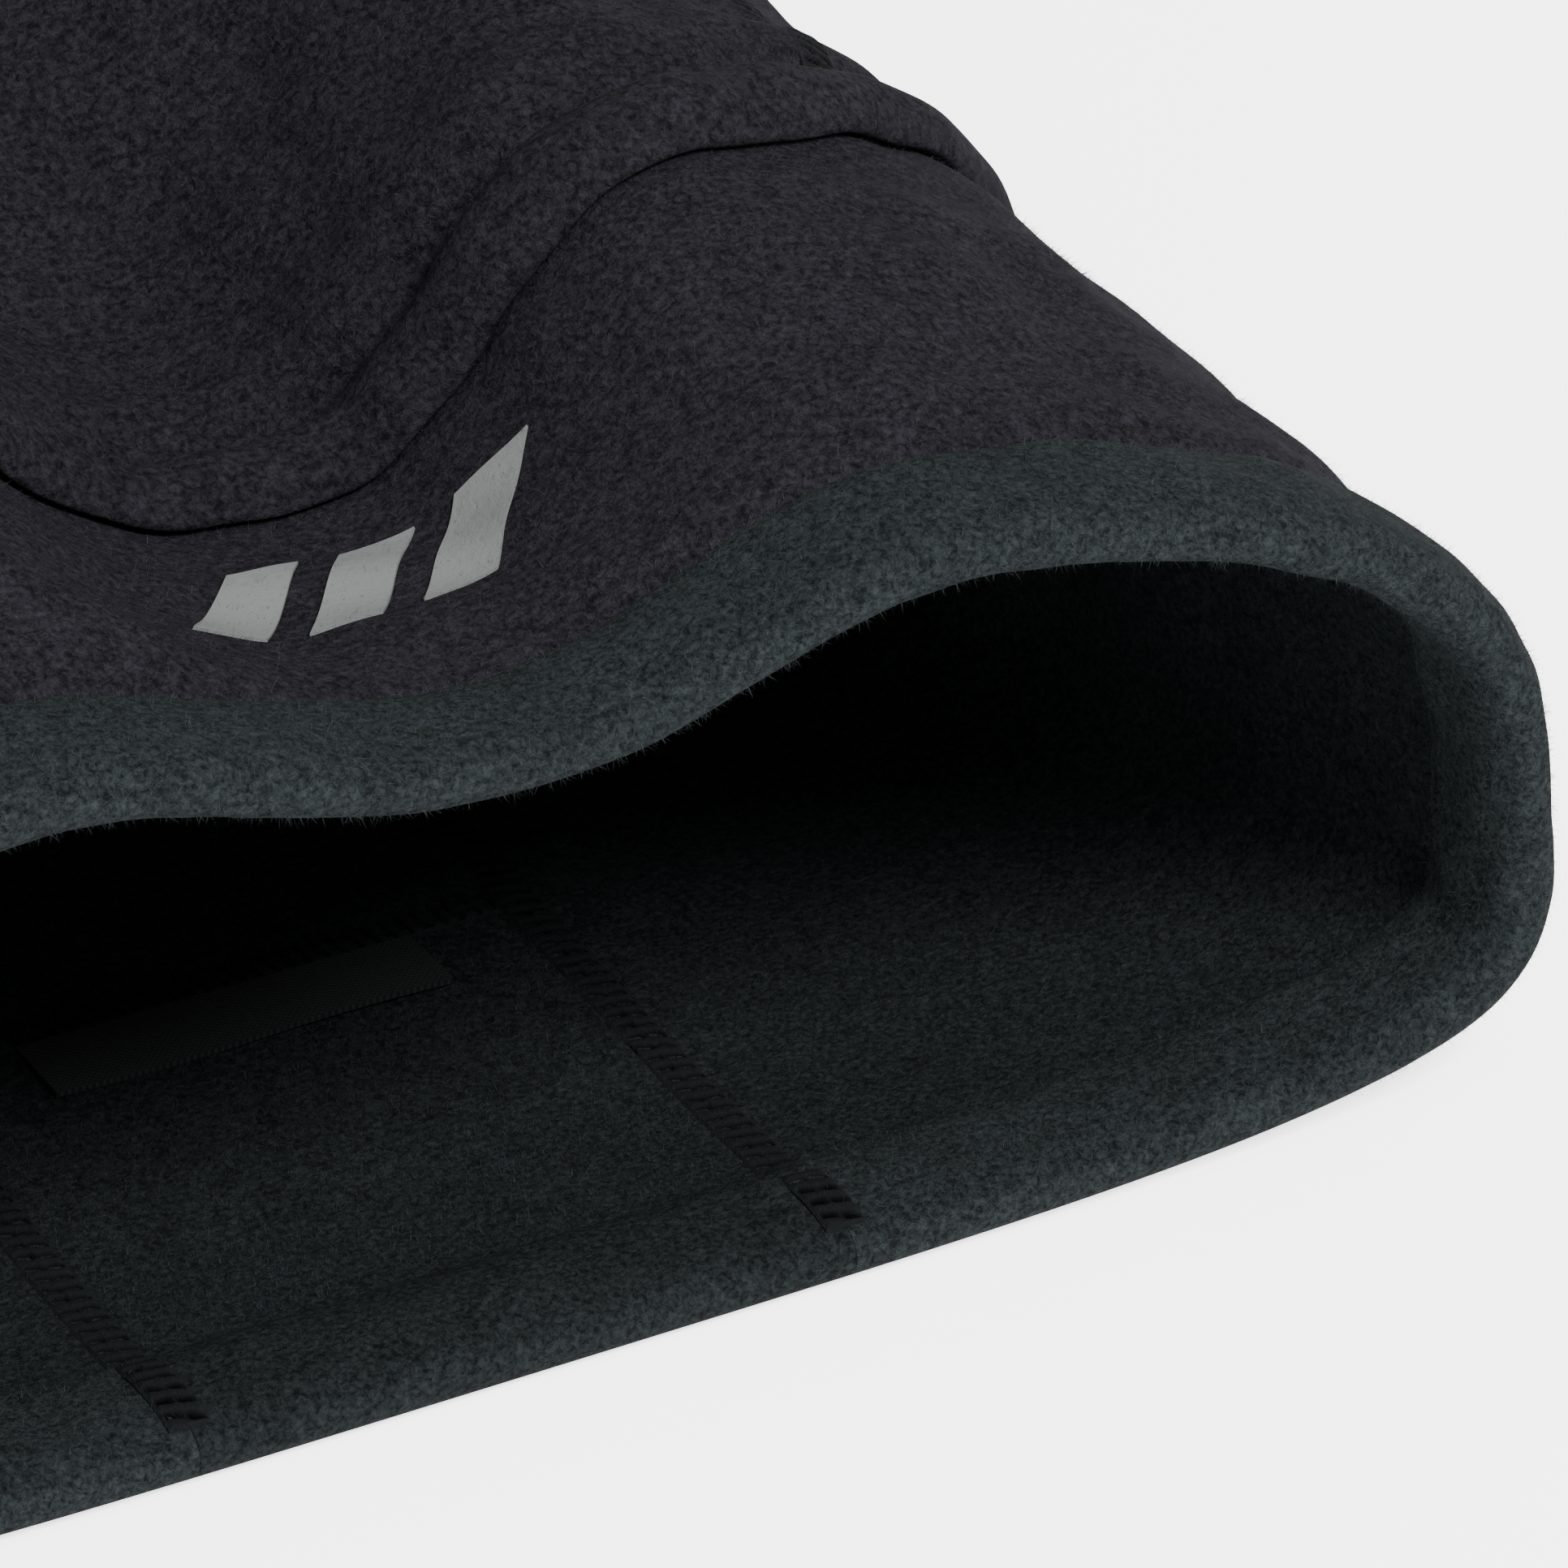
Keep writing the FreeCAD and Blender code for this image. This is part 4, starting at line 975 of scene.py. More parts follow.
def ladder(along, across, pitch, coarse=1.0):
    """Height, slot and rung of a ladder seam at places along and across it, in metres."""
    v = np.abs(across) / MM
    wander = GRIT(np.stack([along, across, 0 * across], -1))
    phase = along / pitch + RUNG_LEAN * across / MM + 0.05 * wander
    gap = np.clip(1.0 - np.abs((phase % 1.0) - 0.5) / SLOT_HALF, 0.0, 1.0)
    lane = 1.0 - ease(v, 1.60, 2.00)
    # slot marks the gaps between the rungs; the stitching material paints them near black as shade.
    slot = ease(gap, 0.0, 0.55) * lane * (0.35 + 0.65 * ease(v, 0.12, 0.45))
    rung = lane * (1.0 - gap)
    grit = GRIT(np.stack([along, across + 0.01, 0 * across], -1))
    ridge = np.exp(-(v / 0.35) ** 2) * (0.12 + 0.08 * grit)
    rail = np.exp(-((v - 2.0) / 0.28) ** 2) * (0.08 + 0.06 * grit)
    arch = lane * (0.20 + 0.10 * np.cos(2 * math.pi * phase))
    edge = ease(2.3 - v, 0.0, 0.35)
    height = (0.20 + ridge + rail + arch - SLOT_DEPTH * slot) * coarse * edge
    return np.maximum(height, SEAM_FLOOR) * MM, slot, rung


HOLE_ROWS = 3
HOLES_IN_ROW = 6                    # one more in every second row


class Opening:
    """The breathing holes: which places are cut away, and how their edges are rounded."""

    def __init__(self, cloth):
        self.radius = cloth.hole_radius
        self.centres = []
        for row in range(HOLE_ROWS):
            count = HOLES_IN_ROW + row % 2
            for column in range(count):
                self.centres.append((cloth.hole_pitch * (column - 0.5 * (count - 1)),
                                     HEM + cloth.hole_y + cloth.hole_pitch * row))
        self.centres = np.array(self.centres)

    def inside(self, place):
        return bool((np.hypot(*(self.centres - place).T) < self.radius).any())

    def rounded(self, place):
        away = place[:2] - self.centres
        distance = np.hypot(*away.T)
        near = int(distance.argmin())
        if distance[near] > 2.0 * self.radius:
            return np.zeros(2)
        return away[near] * (self.radius / distance[near] - 1.0)


def stitch_strip(name, base, along, across, form, offset, outward, pitch, look_key, body, nodes=(),
                 slot=None, nose=False, coarse=1.0, puff=0.0):
    """A ladder seam laid on a grid of base points, standing off to one side of the cloth."""
    height, gap, rung = ladder(along, across, pitch, coarse)
    face = form.place(base, offset + outward * height, nose, puff)
    root = form.place(base, offset - outward * 0.25 * MM, nose, puff)
    rows, columns = base.shape[:2]
    bm, place = grid_mesh(rows, columns)
    slot_shade_layer, rung_layer = bm.verts.layers.float.new("slot"), bm.verts.layers.float.new("rung")
    lay_uv(bm, place, flattened(base))
    first = list(bm.verts)
    made = bmesh.ops.extrude_face_region(bm, geom=bm.faces[:], use_keep_orig=True)
    second = [item for item in made["geom"] if isinstance(item, bmesh.types.BMVert)]
    face, root, gap, rung = face.reshape(-1, 3), root.reshape(-1, 3), gap.ravel(), rung.ravel()
    for vert in first:
        vert.co = face[vert[place]]
        vert[slot_shade_layer], vert[rung_layer] = gap[vert[place]], rung[vert[place]]
    for vert in second:
        vert.co = root[vert[place]]
    return finished(name, bm, look(look_key), body, nodes, slot)


# ---------------------------------------------------------------------------------------------
# Operators, one for each piece or group of like pieces
# ---------------------------------------------------------------------------------------------
PLIES = ("shell", "lining")
SLOTS = {"shell": "outer_fleece", "lining": "inner_fleece"}
PLY_LOOKS = {"shell": "outer", "lining": "inner"}


def ply_offsets(cloth, kind):
    return (0.0, cloth.shell_inside) if kind == "shell" else (cloth.lining_outside, cloth.lining_inside)


class BALACLAVA_OT_neck_panel(bpy.types.Operator):
    """Neck panel: outer fleece and lining that wrap round the neck"""
    bl_idname = "balaclava.neck_panel"
    bl_label = "Neck panel"

    def execute(self, context):
        pattern = Pattern(context)
        cloth, form = pattern.cloth, pattern.form
        rows = np.linspace(cloth.rim, cloth.neck_front_y - pattern.gap, 76)
        base = np.stack([pattern.neck_row(y, 165) for y in rows])
        from_hem = base[..., 1] - HEM
        tuck = -0.7 * MM * np.exp(-((from_hem - cloth.hem_depth) / (2.2 * MM)) ** 2)
        in_front = base[..., 2] > FRONT_HEIGHT
        for kind in PLIES:
            outer, inner = ply_offsets(cloth, kind)
            puff = tuck + in_front * pattern.billow(base) + form.ridge(base) if kind == "shell" else 0.0
            top = form.place(base, outer, puff=puff)
            name = "neck_panel_" + kind
            made = ply(name, top, form.place(base, inner), look(PLY_LOOKS[kind]), "hood", [name], SLOTS[kind])
        return {"FINISHED"}


class BALACLAVA_OT_centre_strip(bpy.types.Operator):
    """Centre strip: the piece behind the neck and the one over the crown to the brow"""
    bl_idname = "balaclava.centre_strip"
    bl_label = "Centre strip"

    def execute(self, context):
        pattern = Pattern(context)
        cloth, form, gap = pattern.cloth, pattern.form, pattern.gap
        across = np.linspace(-1, 1, 47) * (cloth.strip_half_width - gap)
        rows = np.linspace(cloth.rim, cloth.neck_back_y - gap, 50)
        neck = form.back(across[None, :], rows[:, None])
        crown = np.stack([form.lengthwise(x, cloth.neck_back_y + gap, pattern.brow_y(x), 230)
                          for x in across], axis=1)
        for kind in PLIES:
            outer, inner = ply_offsets(cloth, kind)
            for part, base, flat in (("neck_strip_", neck, pattern.cuts.neck_strip),
                                     ("crown_strip_", crown, pattern.cuts.crown_strip)):
                made = ply(part + kind, form.place(base, outer), form.place(base, inner),
                           look(PLY_LOOKS[kind]), "hood", [part + kind], SLOTS[kind])
        return {"FINISHED"}


class BALACLAVA_OT_side_panels(bpy.types.Operator):
    """Side panels: the two halves of the hood beside the centre strip"""
    bl_idname = "balaclava.side_panels"
    bl_label = "Side panels"

    def execute(self, context):
        pattern = Pattern(context)
        cloth, form, gap = pattern.cloth, pattern.form, pattern.gap
        edge = cloth.strip_half_width + gap
        limit = math.acos(min(0.999, edge / form.hood_half_width))
        ring = 0.5 * (1 - np.cos(np.linspace(0, math.pi, 72)))
        rows = np.concatenate([
            np.linspace(cloth.neck_front_y + gap, cloth.opening_bottom_y, 9, endpoint=False),
            cloth.opening_bottom_y + (cloth.opening_top_y - cloth.opening_bottom_y) * ring[:-4],
            form.dome_y + form.dome_length * np.sin(np.linspace(0.13, 1.0, 30) ** 0.85 * limit)])
        rows = np.unique(rows)
        middle = 0.5 * (cloth.opening_top_y + cloth.opening_bottom_y)
        grid = []
        for y in rows:
            stop = max(gap, pattern.opening_half(y))
            if y > middle:
                stop = max(stop, edge)
            grid.append(form.around(y, ("back", edge), ("front", stop), np.linspace(0, 1, 120)))
        right_way = np.array(grid)
        for hand, side in HANDS.items():
            base = right_way * np.array([side, 1.0, 1.0])
            for kind in PLIES:
                outer, inner = ply_offsets(cloth, kind)
                name = "side_panel_%s_%s" % (hand, kind)
                made = ply(name, form.place(base, outer), form.place(base, inner),
                           look(PLY_LOOKS[kind]), "hood", [name], SLOTS[kind])
                wide, long = pattern.cuts.side_panel
        return {"FINISHED"}


HEM_SECTION = [  # along from the hem, and off the form, in millimetres, round the turned hem
    (16.3, 0.25), (15.5, 1.05), (13.6, 1.75), (10.5, 2.15), (7.5, 2.25), (4.8, 2.05), (2.4, 1.5),
    (0.9, 0.7), (0.15, -0.5), (-0.1, -1.7), (0.15, -2.9), (0.9, -4.0), (2.6, -4.8), (5.2, -5.2),
    (8.2, -5.3), (11.0, -5.25), (13.6, -5.0), (15.6, -4.4), (16.6, -3.75), (15.8, -3.5), (12.0, -3.45),
    (6.0, -3.45), (1.75, -3.45), (1.6, -1.6), (1.75, 0.1), (6.0, 0.1), (12.0, 0.1), (15.6, 0.15)]


class BALACLAVA_OT_turned_hem(bpy.types.Operator):
    """Turned hem: the soft rolled cuff round the neck, in front and behind"""
    bl_idname = "balaclava.turned_hem"
    bl_label = "Turned hem"

    def execute(self, context):
        pattern = Pattern(context)
        form, cloth = pattern.form, pattern.cloth
        section = smooth_loop(HEM_SECTION)
        shown = ease(section[:, 1], 0.2 * MM, 1.2 * MM) + ease(-section[:, 1], 3.6 * MM, 4.6 * MM)
        half = cloth.strip_half_width - pattern.touch
        across = np.linspace(-half, half, 60)
        for name, row_at, flat in (
                ("hem_facing_front", lambda y: pattern.neck_row(y, 190, pattern.touch),
                 pattern.cuts.hem_front),
                ("hem_facing_back", lambda y: form.back(across, y), pattern.cuts.hem_back)):
            rows = []
            for (along, off), show in zip(section, shown):
                base = row_at(max(along, 0.0))
                puff = show * (0.07 * MM * LUMPS(base) + 0.13 * MM * CRUMPLE(base + 0.2))
                puff = puff * (1.0 - 2.0 * (off < -2 * MM))
                flat_back = ease(base[:, 2], 0.002, 0.012)
                puff = puff * (flat_back if off > -2 * MM else 1.0)
                row = form.place(base, off, puff=puff)
                row[:, 1] += min(along, 0.0)
                rows.append(row)
            # The back hem takes the darker copy of the hem fleece: painted shade.
            tone = "hem_back" if name == "hem_facing_back" else "hem"
            made = roll(name, np.array(rows), look(tone), "hood", [name], "turned_hem_fleece")
        return {"FINISHED"}


class BALACLAVA_OT_ladder_seams(bpy.types.Operator):
    """Ladder seams inside the hood and on the turned hem"""
    bl_idname = "balaclava.ladder_seams"
    bl_label = "Ladder seams"

    def execute(self, context):
        pattern = Pattern(context)
        cloth, form = pattern.cloth, pattern.form
        inside = cloth.lining_inside - 0.02 * MM
        half = 0.5 * cloth.seam_width
        v = np.linspace(-half, half, 17)
        start = cloth.hem_depth + 0.3 * MM
        for hand, side in HANDS.items():
            steps = 2100
            x = side * cloth.strip_half_width + v
            base = np.stack([form.lengthwise(a, start, pattern.brow_y(a) + 0.4 * MM, steps)
                             for a in x], axis=1)
            travelled = np.linspace(0.0, 0.455, steps)
            u, w = np.meshgrid(travelled, v, indexing="ij")
            stitch_strip("strip_seam_" + hand, base, u, w, form, inside, -1.0, cloth.stitch_pitch,
                         "thread", "hood", ["strip_seam_" + hand], "seam_thread")
            rows = np.linspace(cloth.rim + 0.3 * MM, cloth.hem_depth - 0.3 * MM, 100)
            base = form.back(x[None, :], rows[:, None])
            u, w = np.meshgrid(rows, v, indexing="ij")
            bulge = -1.75 * MM * np.sin(np.pi * np.clip(rows / cloth.hem_depth, 0, 1)) ** 0.6
            stitch_strip("hem_seam_" + hand, base, u, w, form, inside - 0.35 * MM, -1.0,
                         cloth.hem_stitch_pitch, "hem_thread", "hood", ["hem_seam_" + hand],
                         "seam_thread", puff=bulge[:, None])
        inner = cloth.strip_half_width - half - cloth.seam_gap
        x = np.linspace(-inner, inner, 360)
        base = form.back(x[:, None], cloth.neck_back_y + v[None, :])
        u, w = np.meshgrid(x, v, indexing="ij")
        stitch_strip("neck_back_seam", base, u, w, form, inside, -1.0, cloth.stitch_pitch, "thread",
                     "hood", ["neck_back_seam"], "seam_thread")
        edge = ("back", cloth.strip_half_width + half + cloth.seam_gap)
        ring = []
        for y in cloth.neck_front_y + v:
            side = form.around(y, edge, ("front", 0.0), np.linspace(0, 1, 1150))
            ring.append(np.concatenate([side, mirrored(side[-2::-1])]))
        base = np.stack(ring, axis=1)
        u, w = np.meshgrid(np.linspace(-0.25, 0.25, len(base)), v, indexing="ij")
        stitch_strip("neck_front_seam", base, u, w, form, inside, -1.0, cloth.stitch_pitch, "thread",
                     "hood", ["neck_front_seam"], "seam_thread")
        rows = np.linspace(cloth.neck_front_y + half + cloth.seam_gap, cloth.opening_bottom_y, 60)
        base = form.front(v[None, :], rows[:, None])
        u, w = np.meshgrid(rows, v, indexing="ij")
        stitch_strip("chin_seam", base, u, w, form, inside, -1.0, cloth.stitch_pitch, "thread",
                     "hood", ["chin_seam"], "seam_thread")
        return {"FINISHED"}


class BALACLAVA_OT_outer_seams(bpy.types.Operator):
    """Outer side of the flat seams: beside the centre strip and across the mask at its wings"""
    bl_idname = "balaclava.outer_seams"
    bl_label = "Outer seams"

    def execute(self, context):
        pattern = Pattern(context)
        cloth, form = pattern.cloth, pattern.form
        half = 0.5 * cloth.seam_width
        v = np.linspace(-half, half, 17)
        for hand, side in HANDS.items():
            steps = 760
            base = np.stack([form.lengthwise(side * cloth.strip_half_width + a,
                                             form.dome_y + 20 * MM, pattern.brow_y(
                                                 cloth.strip_half_width + a) + 0.4 * MM, steps)
                             for a in v], axis=1)
            u, w = np.meshgrid(np.linspace(0.0, 0.2, steps), v, indexing="ij")
            stitch_strip("brow_seam_" + hand, base, u, w, form, -0.05 * MM, 1.0,
                         cloth.stitch_pitch, "flat_thread", "hood", coarse=0.55)
            seam = side * cloth.wing_seam_x
            low = pattern.hem_edge(seam) + cloth.mask_hem_width - 0.5 * MM
            high = pattern.top_edge(seam) - cloth.mask_binding_width + 0.5 * MM
            rows = np.linspace(low, high, 300)
            base = form.front(seam + side * v[None, :], rows[:, None], True)
            u, w = np.meshgrid(rows, v, indexing="ij")
            stitch_strip("wing_seam_" + hand, base, u, w, form, cloth.mask_outside - 0.1 * MM, 1.0,
                         0.8 * cloth.stitch_pitch, "flat_thread", pattern.wing_body(hand),
                         ["wing_seam_" + hand], "seam_thread", nose=True, coarse=0.55,
                         puff=pattern.mask_puff(base))
        return {"FINISHED"}


BINDING_SECTION = [  # in from the cut edge, and off the form, in millimetres
    (-0.5, 0.35), (1.0, 0.95), (3.0, 1.25), (5.0, 1.2), (6.9, 0.6), (7.95, -0.4), (8.3, -1.65),
    (7.95, -2.9), (6.9, -3.9), (5.0, -4.5), (3.0, -4.55), (1.0, -4.25), (-0.5, -3.6), (-0.7, -1.65)]


class BALACLAVA_OT_face_binding(bpy.types.Operator):
    """Folded knit binding round the face opening, gathered by the elastic inside it"""
    bl_idname = "balaclava.face_binding"
    bl_label = "Face opening binding"

    def execute(self, context):
        pattern = Pattern(context)
        form = pattern.form
        steps = 900
        rows = []
        gather = np.sin(np.linspace(0, 2 * math.pi * 118, steps, endpoint=False))
        for inward, off in smooth_loop(BINDING_SECTION, 1):
            x, y = pattern.opening_ring(inward, steps)
            base = form.front(x, y)
            swell = 0.22 * MM * gather * ease(inward, 0.5 * MM, 2.5 * MM)
            away = 1.0 if off > -1.65 * MM else -1.0
            rows.append(form.place(base, off, puff=away * (swell + 0.12 * MM * LUMPS(base))))
        roll("face_opening_binding", np.array(rows), look("knit"), "hood", ["face_opening_binding"],
             "stretch_binding", ring=True)
        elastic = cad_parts["face_opening_elastic"]
        elastic.data.materials.clear()
        elastic.data.materials.append(look("elastic"))
        return {"FINISHED"}


class BALACLAVA_OT_label(bpy.types.Operator):
    """Woven label sewn into the seam behind the neck"""
    bl_idname = "balaclava.label"
    bl_label = "Neck label"

    def execute(self, context):
        pattern = Pattern(context)
        cloth, form = pattern.cloth, pattern.form
        x = np.linspace(-cloth.label_half_width, cloth.label_half_width, 70)
        rows = np.linspace(cloth.neck_back_y - cloth.label_length,
                           cloth.neck_back_y - 0.5 * cloth.seam_width - 0.1 * MM, 20)
        base = form.back(x[None, :], rows[:, None])
        free = 1.0 - ease(rows, rows[0], rows[-1])[:, None]
        curl = free * (0.5 * MM + 0.35 * MM * np.sin(x / 0.0075)[None, :])
        top = form.place(base, cloth.lining_inside - 0.62 * MM, puff=-curl)
        bottom = form.place(base, cloth.lining_inside - 0.04 * MM, puff=-0.92 * curl)
        made = ply("neck_label", bottom, top, look("label"), "hood", ["neck_label"], "woven_label")
        return {"FINISHED"}


TRANSFER_BARS = 3
BAR_SHARE = 0.64                    # width of a bar, as a share of the pitch


class BALACLAVA_OT_transfer(bpy.types.Operator):
    """Reflective transfer: three leaning bars across the front of the neck"""
    bl_idname = "balaclava.transfer"
    bl_label = "Neck transfer"

    def execute(self, context):
        pattern = Pattern(context)
        cloth, form = pattern.cloth, pattern.form
        pitch = cloth.mark_length / (TRANSFER_BARS + 0.5)
        width = BAR_SHARE * pitch
        lean = cloth.mark_length - (TRANSFER_BARS - 1) * pitch - width
        joined = bmesh.new()
        for index in range(TRANSFER_BARS):
            start = cloth.mark_shift - 0.5 * cloth.mark_length + index * pitch
            share = np.linspace(0, 1, 26)
            y = cloth.mark_near_y + (cloth.mark_far_y - cloth.mark_near_y) * share
            x = start + lean * share[:, None] + width * np.linspace(0, 1, 18)[None, :]
            base = form.front(x, y[:, None] + 0 * x)
            press = form.ridge(base) + pattern.billow(base)
            bar = ply("bar", form.place(base, 0.36 * MM, puff=press),
                      form.place(base, 0.03 * MM, puff=press), look("film"), "hood")
            joined.from_mesh(bar.data)
            bpy.data.objects.remove(bar)
        finished("neck_transfer", joined, look("film"), "hood", ["neck_transfer"], "reflective_film")
        return {"FINISHED"}


class BALACLAVA_OT_patches(bpy.types.Operator):
    """Loop patches on the cheeks and hook patches under the wings"""
    bl_idname = "balaclava.patches"
    bl_label = "Hook and loop patches"

    def execute(self, context):
        pattern = Pattern(context)
        cloth, form = pattern.cloth, pattern.form
        for hand, side in HANDS.items():
            for kind, margin, outer, inner in (("loop", 0.0, 0.6, 0.05),
                                               ("hook", cloth.hook_margin, 1.2, 0.65)):
                rows = np.linspace(cloth.patch_y + margin,
                                   cloth.patch_y + cloth.patch_length - margin, 48)
                base = np.stack([form.around(y, ("height", cloth.patch_high_z - margin),
                                             ("height", cloth.patch_low_z + margin),
                                             np.linspace(0, 1, 28)) for y in rows])
                base = base * np.array([side, 1.0, 1.0])
                name = "%s_patch_%s" % (kind, hand)
                body = "hood" if kind == "loop" else pattern.wing_body(hand)
                made = ply(name, form.place(base, outer * MM), form.place(base, inner * MM),
                           look(kind + "s"), body, [name], kind + "_tape")
        return {"FINISHED"}


def mask_parts(pattern):
    """The three parts of the mask: name, hand, body and how many columns each has."""
    yield "mask_front_", None, "mask", 157
    for hand in HANDS:
        yield "wing_%s_" % hand, hand, pattern.wing_body(hand), 44


class BALACLAVA_OT_mask_cloth(bpy.types.Operator):
    """Mask cloth: two plies in front of the face and on each wing, with breathing holes"""
    bl_idname = "balaclava.mask_cloth"
    bl_label = "Mask cloth"

    def execute(self, context):
        pattern = Pattern(context)
        cloth, form = pattern.cloth, pattern.form
        for part, hand, body, count in mask_parts(pattern):
            base = pattern.mask_cloth(pattern.mask_columns(hand, count), 150 if hand is None else 70)
            puff = pattern.mask_puff(base)
            holes = Opening(cloth) if hand is None else None
            for kind, outer, inner in (("shell", cloth.mask_outside, cloth.mask_ply + 0.05 * MM),
                                       ("lining", cloth.mask_ply - 0.05 * MM, cloth.mask_inside)):
                pinch = pattern.mask_pinch(base) if kind == "shell" else 0.0
                made = ply(part + kind, form.place(base, outer, True, puff + pinch),
                           form.place(base, inner, True, puff),
                           look("mask" if kind == "shell" else "inner"), body, [part + kind],
                           SLOTS[kind], holes)
                wide, long = pattern.cuts.mask_front if hand is None else pattern.cuts.mask_wing
                0.95 * wide * long
        return {"FINISHED"}


BAND_SECTION = [  # along from the free edge, and off the form, in millimetres
    (12.6, 1.3), (12.2, 2.4), (11.0, 3.9), (9.2, 5.1), (6.8, 5.5), (4.4, 5.0), (2.4, 3.9), (1.0, 2.7),
    (0.15, 1.4), (0.4, 0.6), (2.0, 0.3), (5.0, 0.25), (8.5, 0.25), (11.4, 0.3), (12.4, 0.6)]
TOP_SECTION = [
    (-7.6, 3.6), (-5.6, 4.1), (-3.4, 4.2), (-1.4, 3.9), (-0.2, 3.2), (0.1, 2.4), (-0.3, 1.6),
    (-1.5, 1.0), (-3.6, 0.85), (-6.0, 0.9), (-7.6, 1.2)]


def mask_edge(context, section, edge, suffix, look_key, slot, lumps):
    """A rolled edge along the mask front and both wings."""
    pattern = Pattern(context)
    form = pattern.form
    for part, hand, body, count in mask_parts(pattern):
        columns = pattern.mask_columns(hand, count)
        rows = []
        for along, off in smooth_loop(section):
            base = pattern.mask_row(columns, getattr(pattern, edge), along)
            outside = ease(off, 2.5 * MM, 4.5 * MM)
            puff = lumps * outside * (0.55 * LUMPS(base) + CRUMPLE(base + 0.1))
            rows.append(form.place(base, off, True, puff))
        roll(part + suffix, np.array(rows), look(look_key), body, [part + suffix], slot)


class BALACLAVA_OT_mask_hem_band(bpy.types.Operator):
    """Hem band: the thick soft roll along the lower edge of the mask and its wings"""
    bl_idname = "balaclava.mask_hem_band"
    bl_label = "Mask hem band"

    def execute(self, context):
        mask_edge(context, BAND_SECTION, "hem_edge", "hem_band", "mask", "outer_fleece", 0.10 * MM)
        return {"FINISHED"}


class BALACLAVA_OT_mask_top_binding(bpy.types.Operator):
    """Knit binding along the nose edge of the mask and its wings"""
    bl_idname = "balaclava.mask_top_binding"
    bl_label = "Mask top binding"

    def execute(self, context):
        mask_edge(context, TOP_SECTION, "top_edge", "top_binding", "knit", "stretch_binding",
                  0.12 * MM)
        return {"FINISHED"}


NAP_HEM_POINTS = 78                 # the points of the hem's section that carry nap


class BALACLAVA_OT_nap(bpy.types.Operator):
    """Nap: loose fibre ends that stand on the fleece, thickest near the neck"""
    bl_idname = "balaclava.nap"
    bl_label = "Fleece nap"

    def execute(self, context):
        pattern = Pattern(context)
        cloth, form = pattern.cloth, pattern.form
        count = pattern.cuts.nap - 0
        rows = np.linspace(cloth.hem_depth, cloth.mask_hem_y + 0.025, 60)
        base = np.stack([pattern.neck_row(y, 150) for y in rows])
        base = base[:, (np.abs(base[0, :, 0]) < 0.2)]
        front = base[..., 2] > 0.012
        out = form.normals(base)
        puff = form.ridge(base) + pattern.billow(base)
        nap("neck_panel_nap", form.place(base, 0.0, puff=puff), look("outer_fibre"), "hood", 21,
            1.25 * MM, (0.1, -0.9, 0.0), out, count, weight=front * 1.0)
        section = smooth_loop(HEM_SECTION)[:NAP_HEM_POINTS]
        hem, hem_out = [], []
        for along, off in section:
            row = pattern.neck_row(max(along, 0.0), 150)
            hem.append(form.place(row, off + 0.05 * MM))
            hem[-1][:, 1] += min(along, 0.0)
            hem_out.append(row)
        hem = np.array(hem)
        out = np.cross(np.gradient(hem, axis=1), np.gradient(hem, axis=0))
        out /= np.maximum(np.linalg.norm(out, axis=-1, keepdims=True), 1e-12)
        facing = np.sign((out[12] * form.normals(hem_out[12])).sum(-1).mean())
        nap("hem_nap", hem, look("hem_fibre"), "hood", 22, 1.15 * MM, (0.1, -0.6, 0.1), out * facing,
            count, thick=0.05, weight=(hem[..., 2] > 0.004) * 1.0)
        columns = pattern.mask_columns(None, 90)
        base = pattern.mask_cloth(columns, 90)
        nap("mask_nap", form.place(base, cloth.mask_outside, True, pattern.mask_puff(base)),
            look("outer_fibre"), "mask", 23, 1.2 * MM, (0.2, -0.8, 0.0), form.normals(base, True), count)
        across = np.linspace(-1, 1, 40) * (cloth.strip_half_width - 2.4 * MM)
        rows = np.linspace(cloth.hem_depth + 2 * MM, 0.16, 70)
        base = form.back(across[None, :], rows[:, None])
        nap("strip_nap", form.place(base, cloth.lining_inside), look("inner_fibre"), "hood", 24,
            1.0 * MM, (0.1, 0.9, 0.0), -form.normals(base), count - 1)
        return {"FINISHED"}


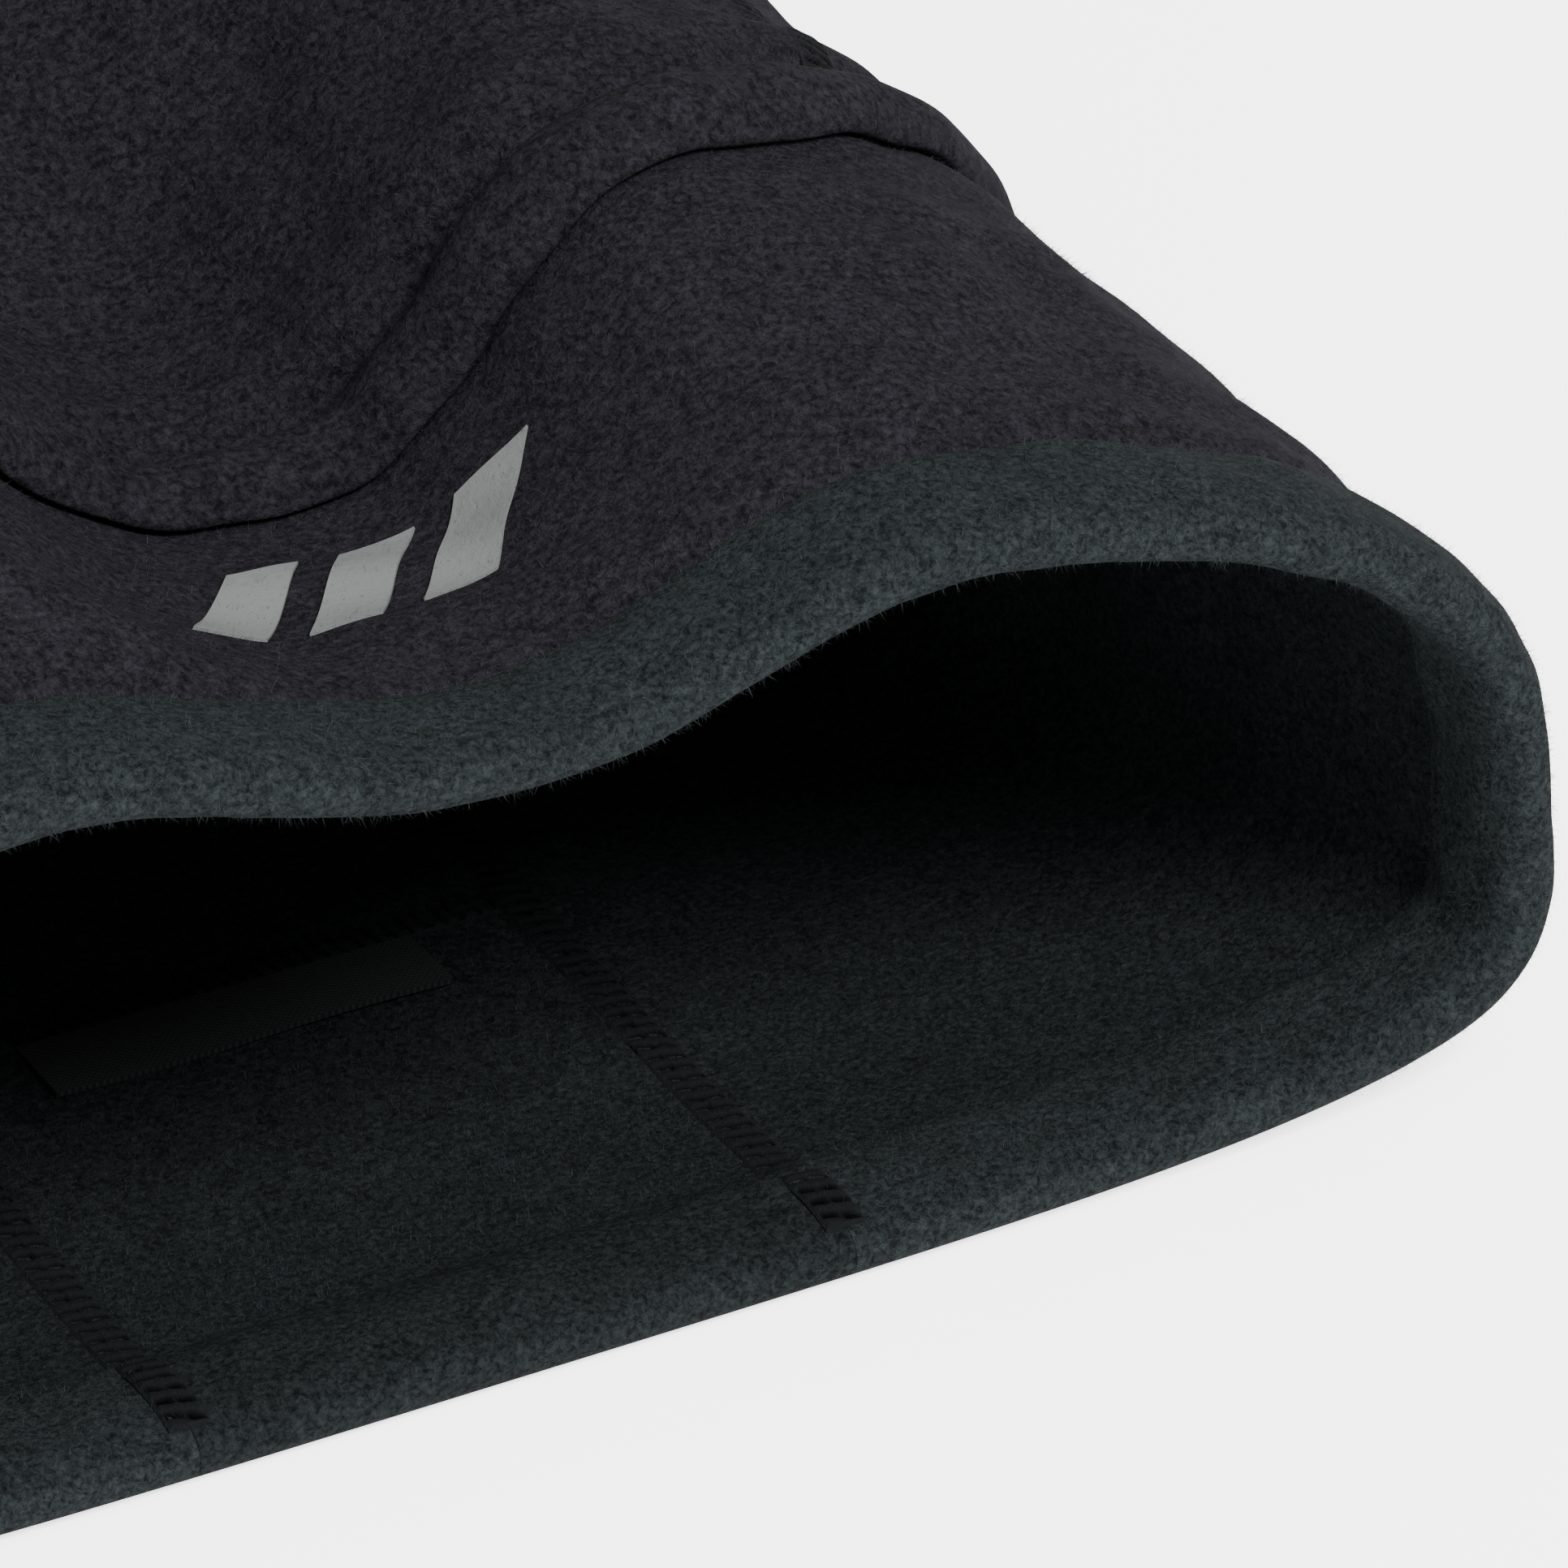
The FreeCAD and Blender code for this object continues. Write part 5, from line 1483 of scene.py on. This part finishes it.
class BALACLAVA_OT_stage(bpy.types.Operator):
    """Plain floor, soft light and the camera"""
    bl_idname = "balaclava.stage"
    bl_label = "Stage"

    def execute(self, context):
        stage = context.scene.stage_settings
        bm = bmesh.new()
        bmesh.ops.create_circle(bm, cap_ends=True, segments=96, radius=stage.floor_radius)
        mesh = bpy.data.meshes.new("floor")
        bm.to_mesh(mesh)
        bm.free()
        surface = Look("pale_floor", **{"Base Color": tuple(stage.floor), "Roughness": 0.9,
                                        "Specular IOR Level": 0.1, "Emission Color": tuple(stage.floor),
                                        "Emission Strength": stage.floor_glow})
        mesh.materials.append(surface.material)
        floor = bpy.data.objects.new("floor", mesh)
        floor.location.z = -0.0001
        context.scene.collection.objects.link(floor)
        world = bpy.data.worlds.new("even_light")
        world.use_nodes = True
        sky = world.node_tree.nodes["Background"]
        sky.inputs["Color"].default_value = (1.0, 1.0, 1.0, 1.0)
        sky.inputs["Strength"].default_value = stage.sky
        context.scene.world = world
        for name, power, width, spot in (("key", stage.key, stage.key_size, stage.key_place),
                                         ("fill", stage.fill, 1.4, stage.fill_place)):
            lamp = bpy.data.lights.new(name, "AREA")
            lamp.energy, lamp.size = power, width
            holder = bpy.data.objects.new(name, lamp)
            holder.location = spot
            aim = Vector((0.0, -0.12, 0.03)) - Vector(spot)
            holder.rotation_euler = aim.to_track_quat("-Z", "Y").to_euler()
            context.scene.collection.objects.link(holder)
        camera = bpy.data.cameras.new("camera")
        camera.lens, camera.sensor_width = stage.lens, 36.0
        camera.clip_start, camera.clip_end = 0.01, 50.0
        holder = bpy.data.objects.new("camera", camera)
        holder.location = stage.camera_place
        holder.rotation_euler = (0.5 * math.pi - stage.camera_dip, 0.0, -stage.camera_turn)
        context.scene.collection.objects.link(holder)
        context.scene.camera = holder
        return {"FINISHED"}


STEPS = (BALACLAVA_OT_neck_panel, BALACLAVA_OT_centre_strip, BALACLAVA_OT_side_panels,
         BALACLAVA_OT_turned_hem, BALACLAVA_OT_ladder_seams, BALACLAVA_OT_outer_seams,
         BALACLAVA_OT_face_binding, BALACLAVA_OT_label, BALACLAVA_OT_transfer,
         BALACLAVA_OT_patches, BALACLAVA_OT_mask_cloth, BALACLAVA_OT_mask_hem_band,
         BALACLAVA_OT_mask_top_binding, BALACLAVA_OT_nap, BALACLAVA_OT_stage)
GROUPS = {"form_sizes": FormSizes, "cloth_sizes": ClothSizes, "cut_sizes": CutSizes,
          "fleece_colours": FleeceColours, "stage_settings": StageSettings}


class BALACLAVA_PT_panel(bpy.types.Panel):
    """Sidebar panel with every step of the balaclava and its settings"""
    bl_idname = "BALACLAVA_PT_panel"
    bl_label = "Balaclava"
    bl_space_type = "VIEW_3D"
    bl_region_type = "UI"
    bl_category = "Balaclava"

    def draw(self, context):
        for step in STEPS:
            self.layout.operator(step.bl_idname)
        for name, group in GROUPS.items():
            box = self.layout.box()
            for setting in group.__annotations__:
                box.prop(getattr(context.scene, name), setting)


def register():
    for made in (*GROUPS.values(), *STEPS, BALACLAVA_PT_panel):
        bpy.utils.register_class(made)
    for name, group in GROUPS.items():
        setattr(bpy.types.Scene, name, PointerProperty(type=group))


def unregister():
    for name in GROUPS:
        delattr(bpy.types.Scene, name)
    for made in reversed((*GROUPS.values(), *STEPS, BALACLAVA_PT_panel)):
        bpy.utils.unregister_class(made)


def main():
    register()
    for step in STEPS:
        group, action = step.bl_idname.split(".")
        getattr(getattr(bpy.ops, group), action)()


if __name__ == "__main__":
    main()
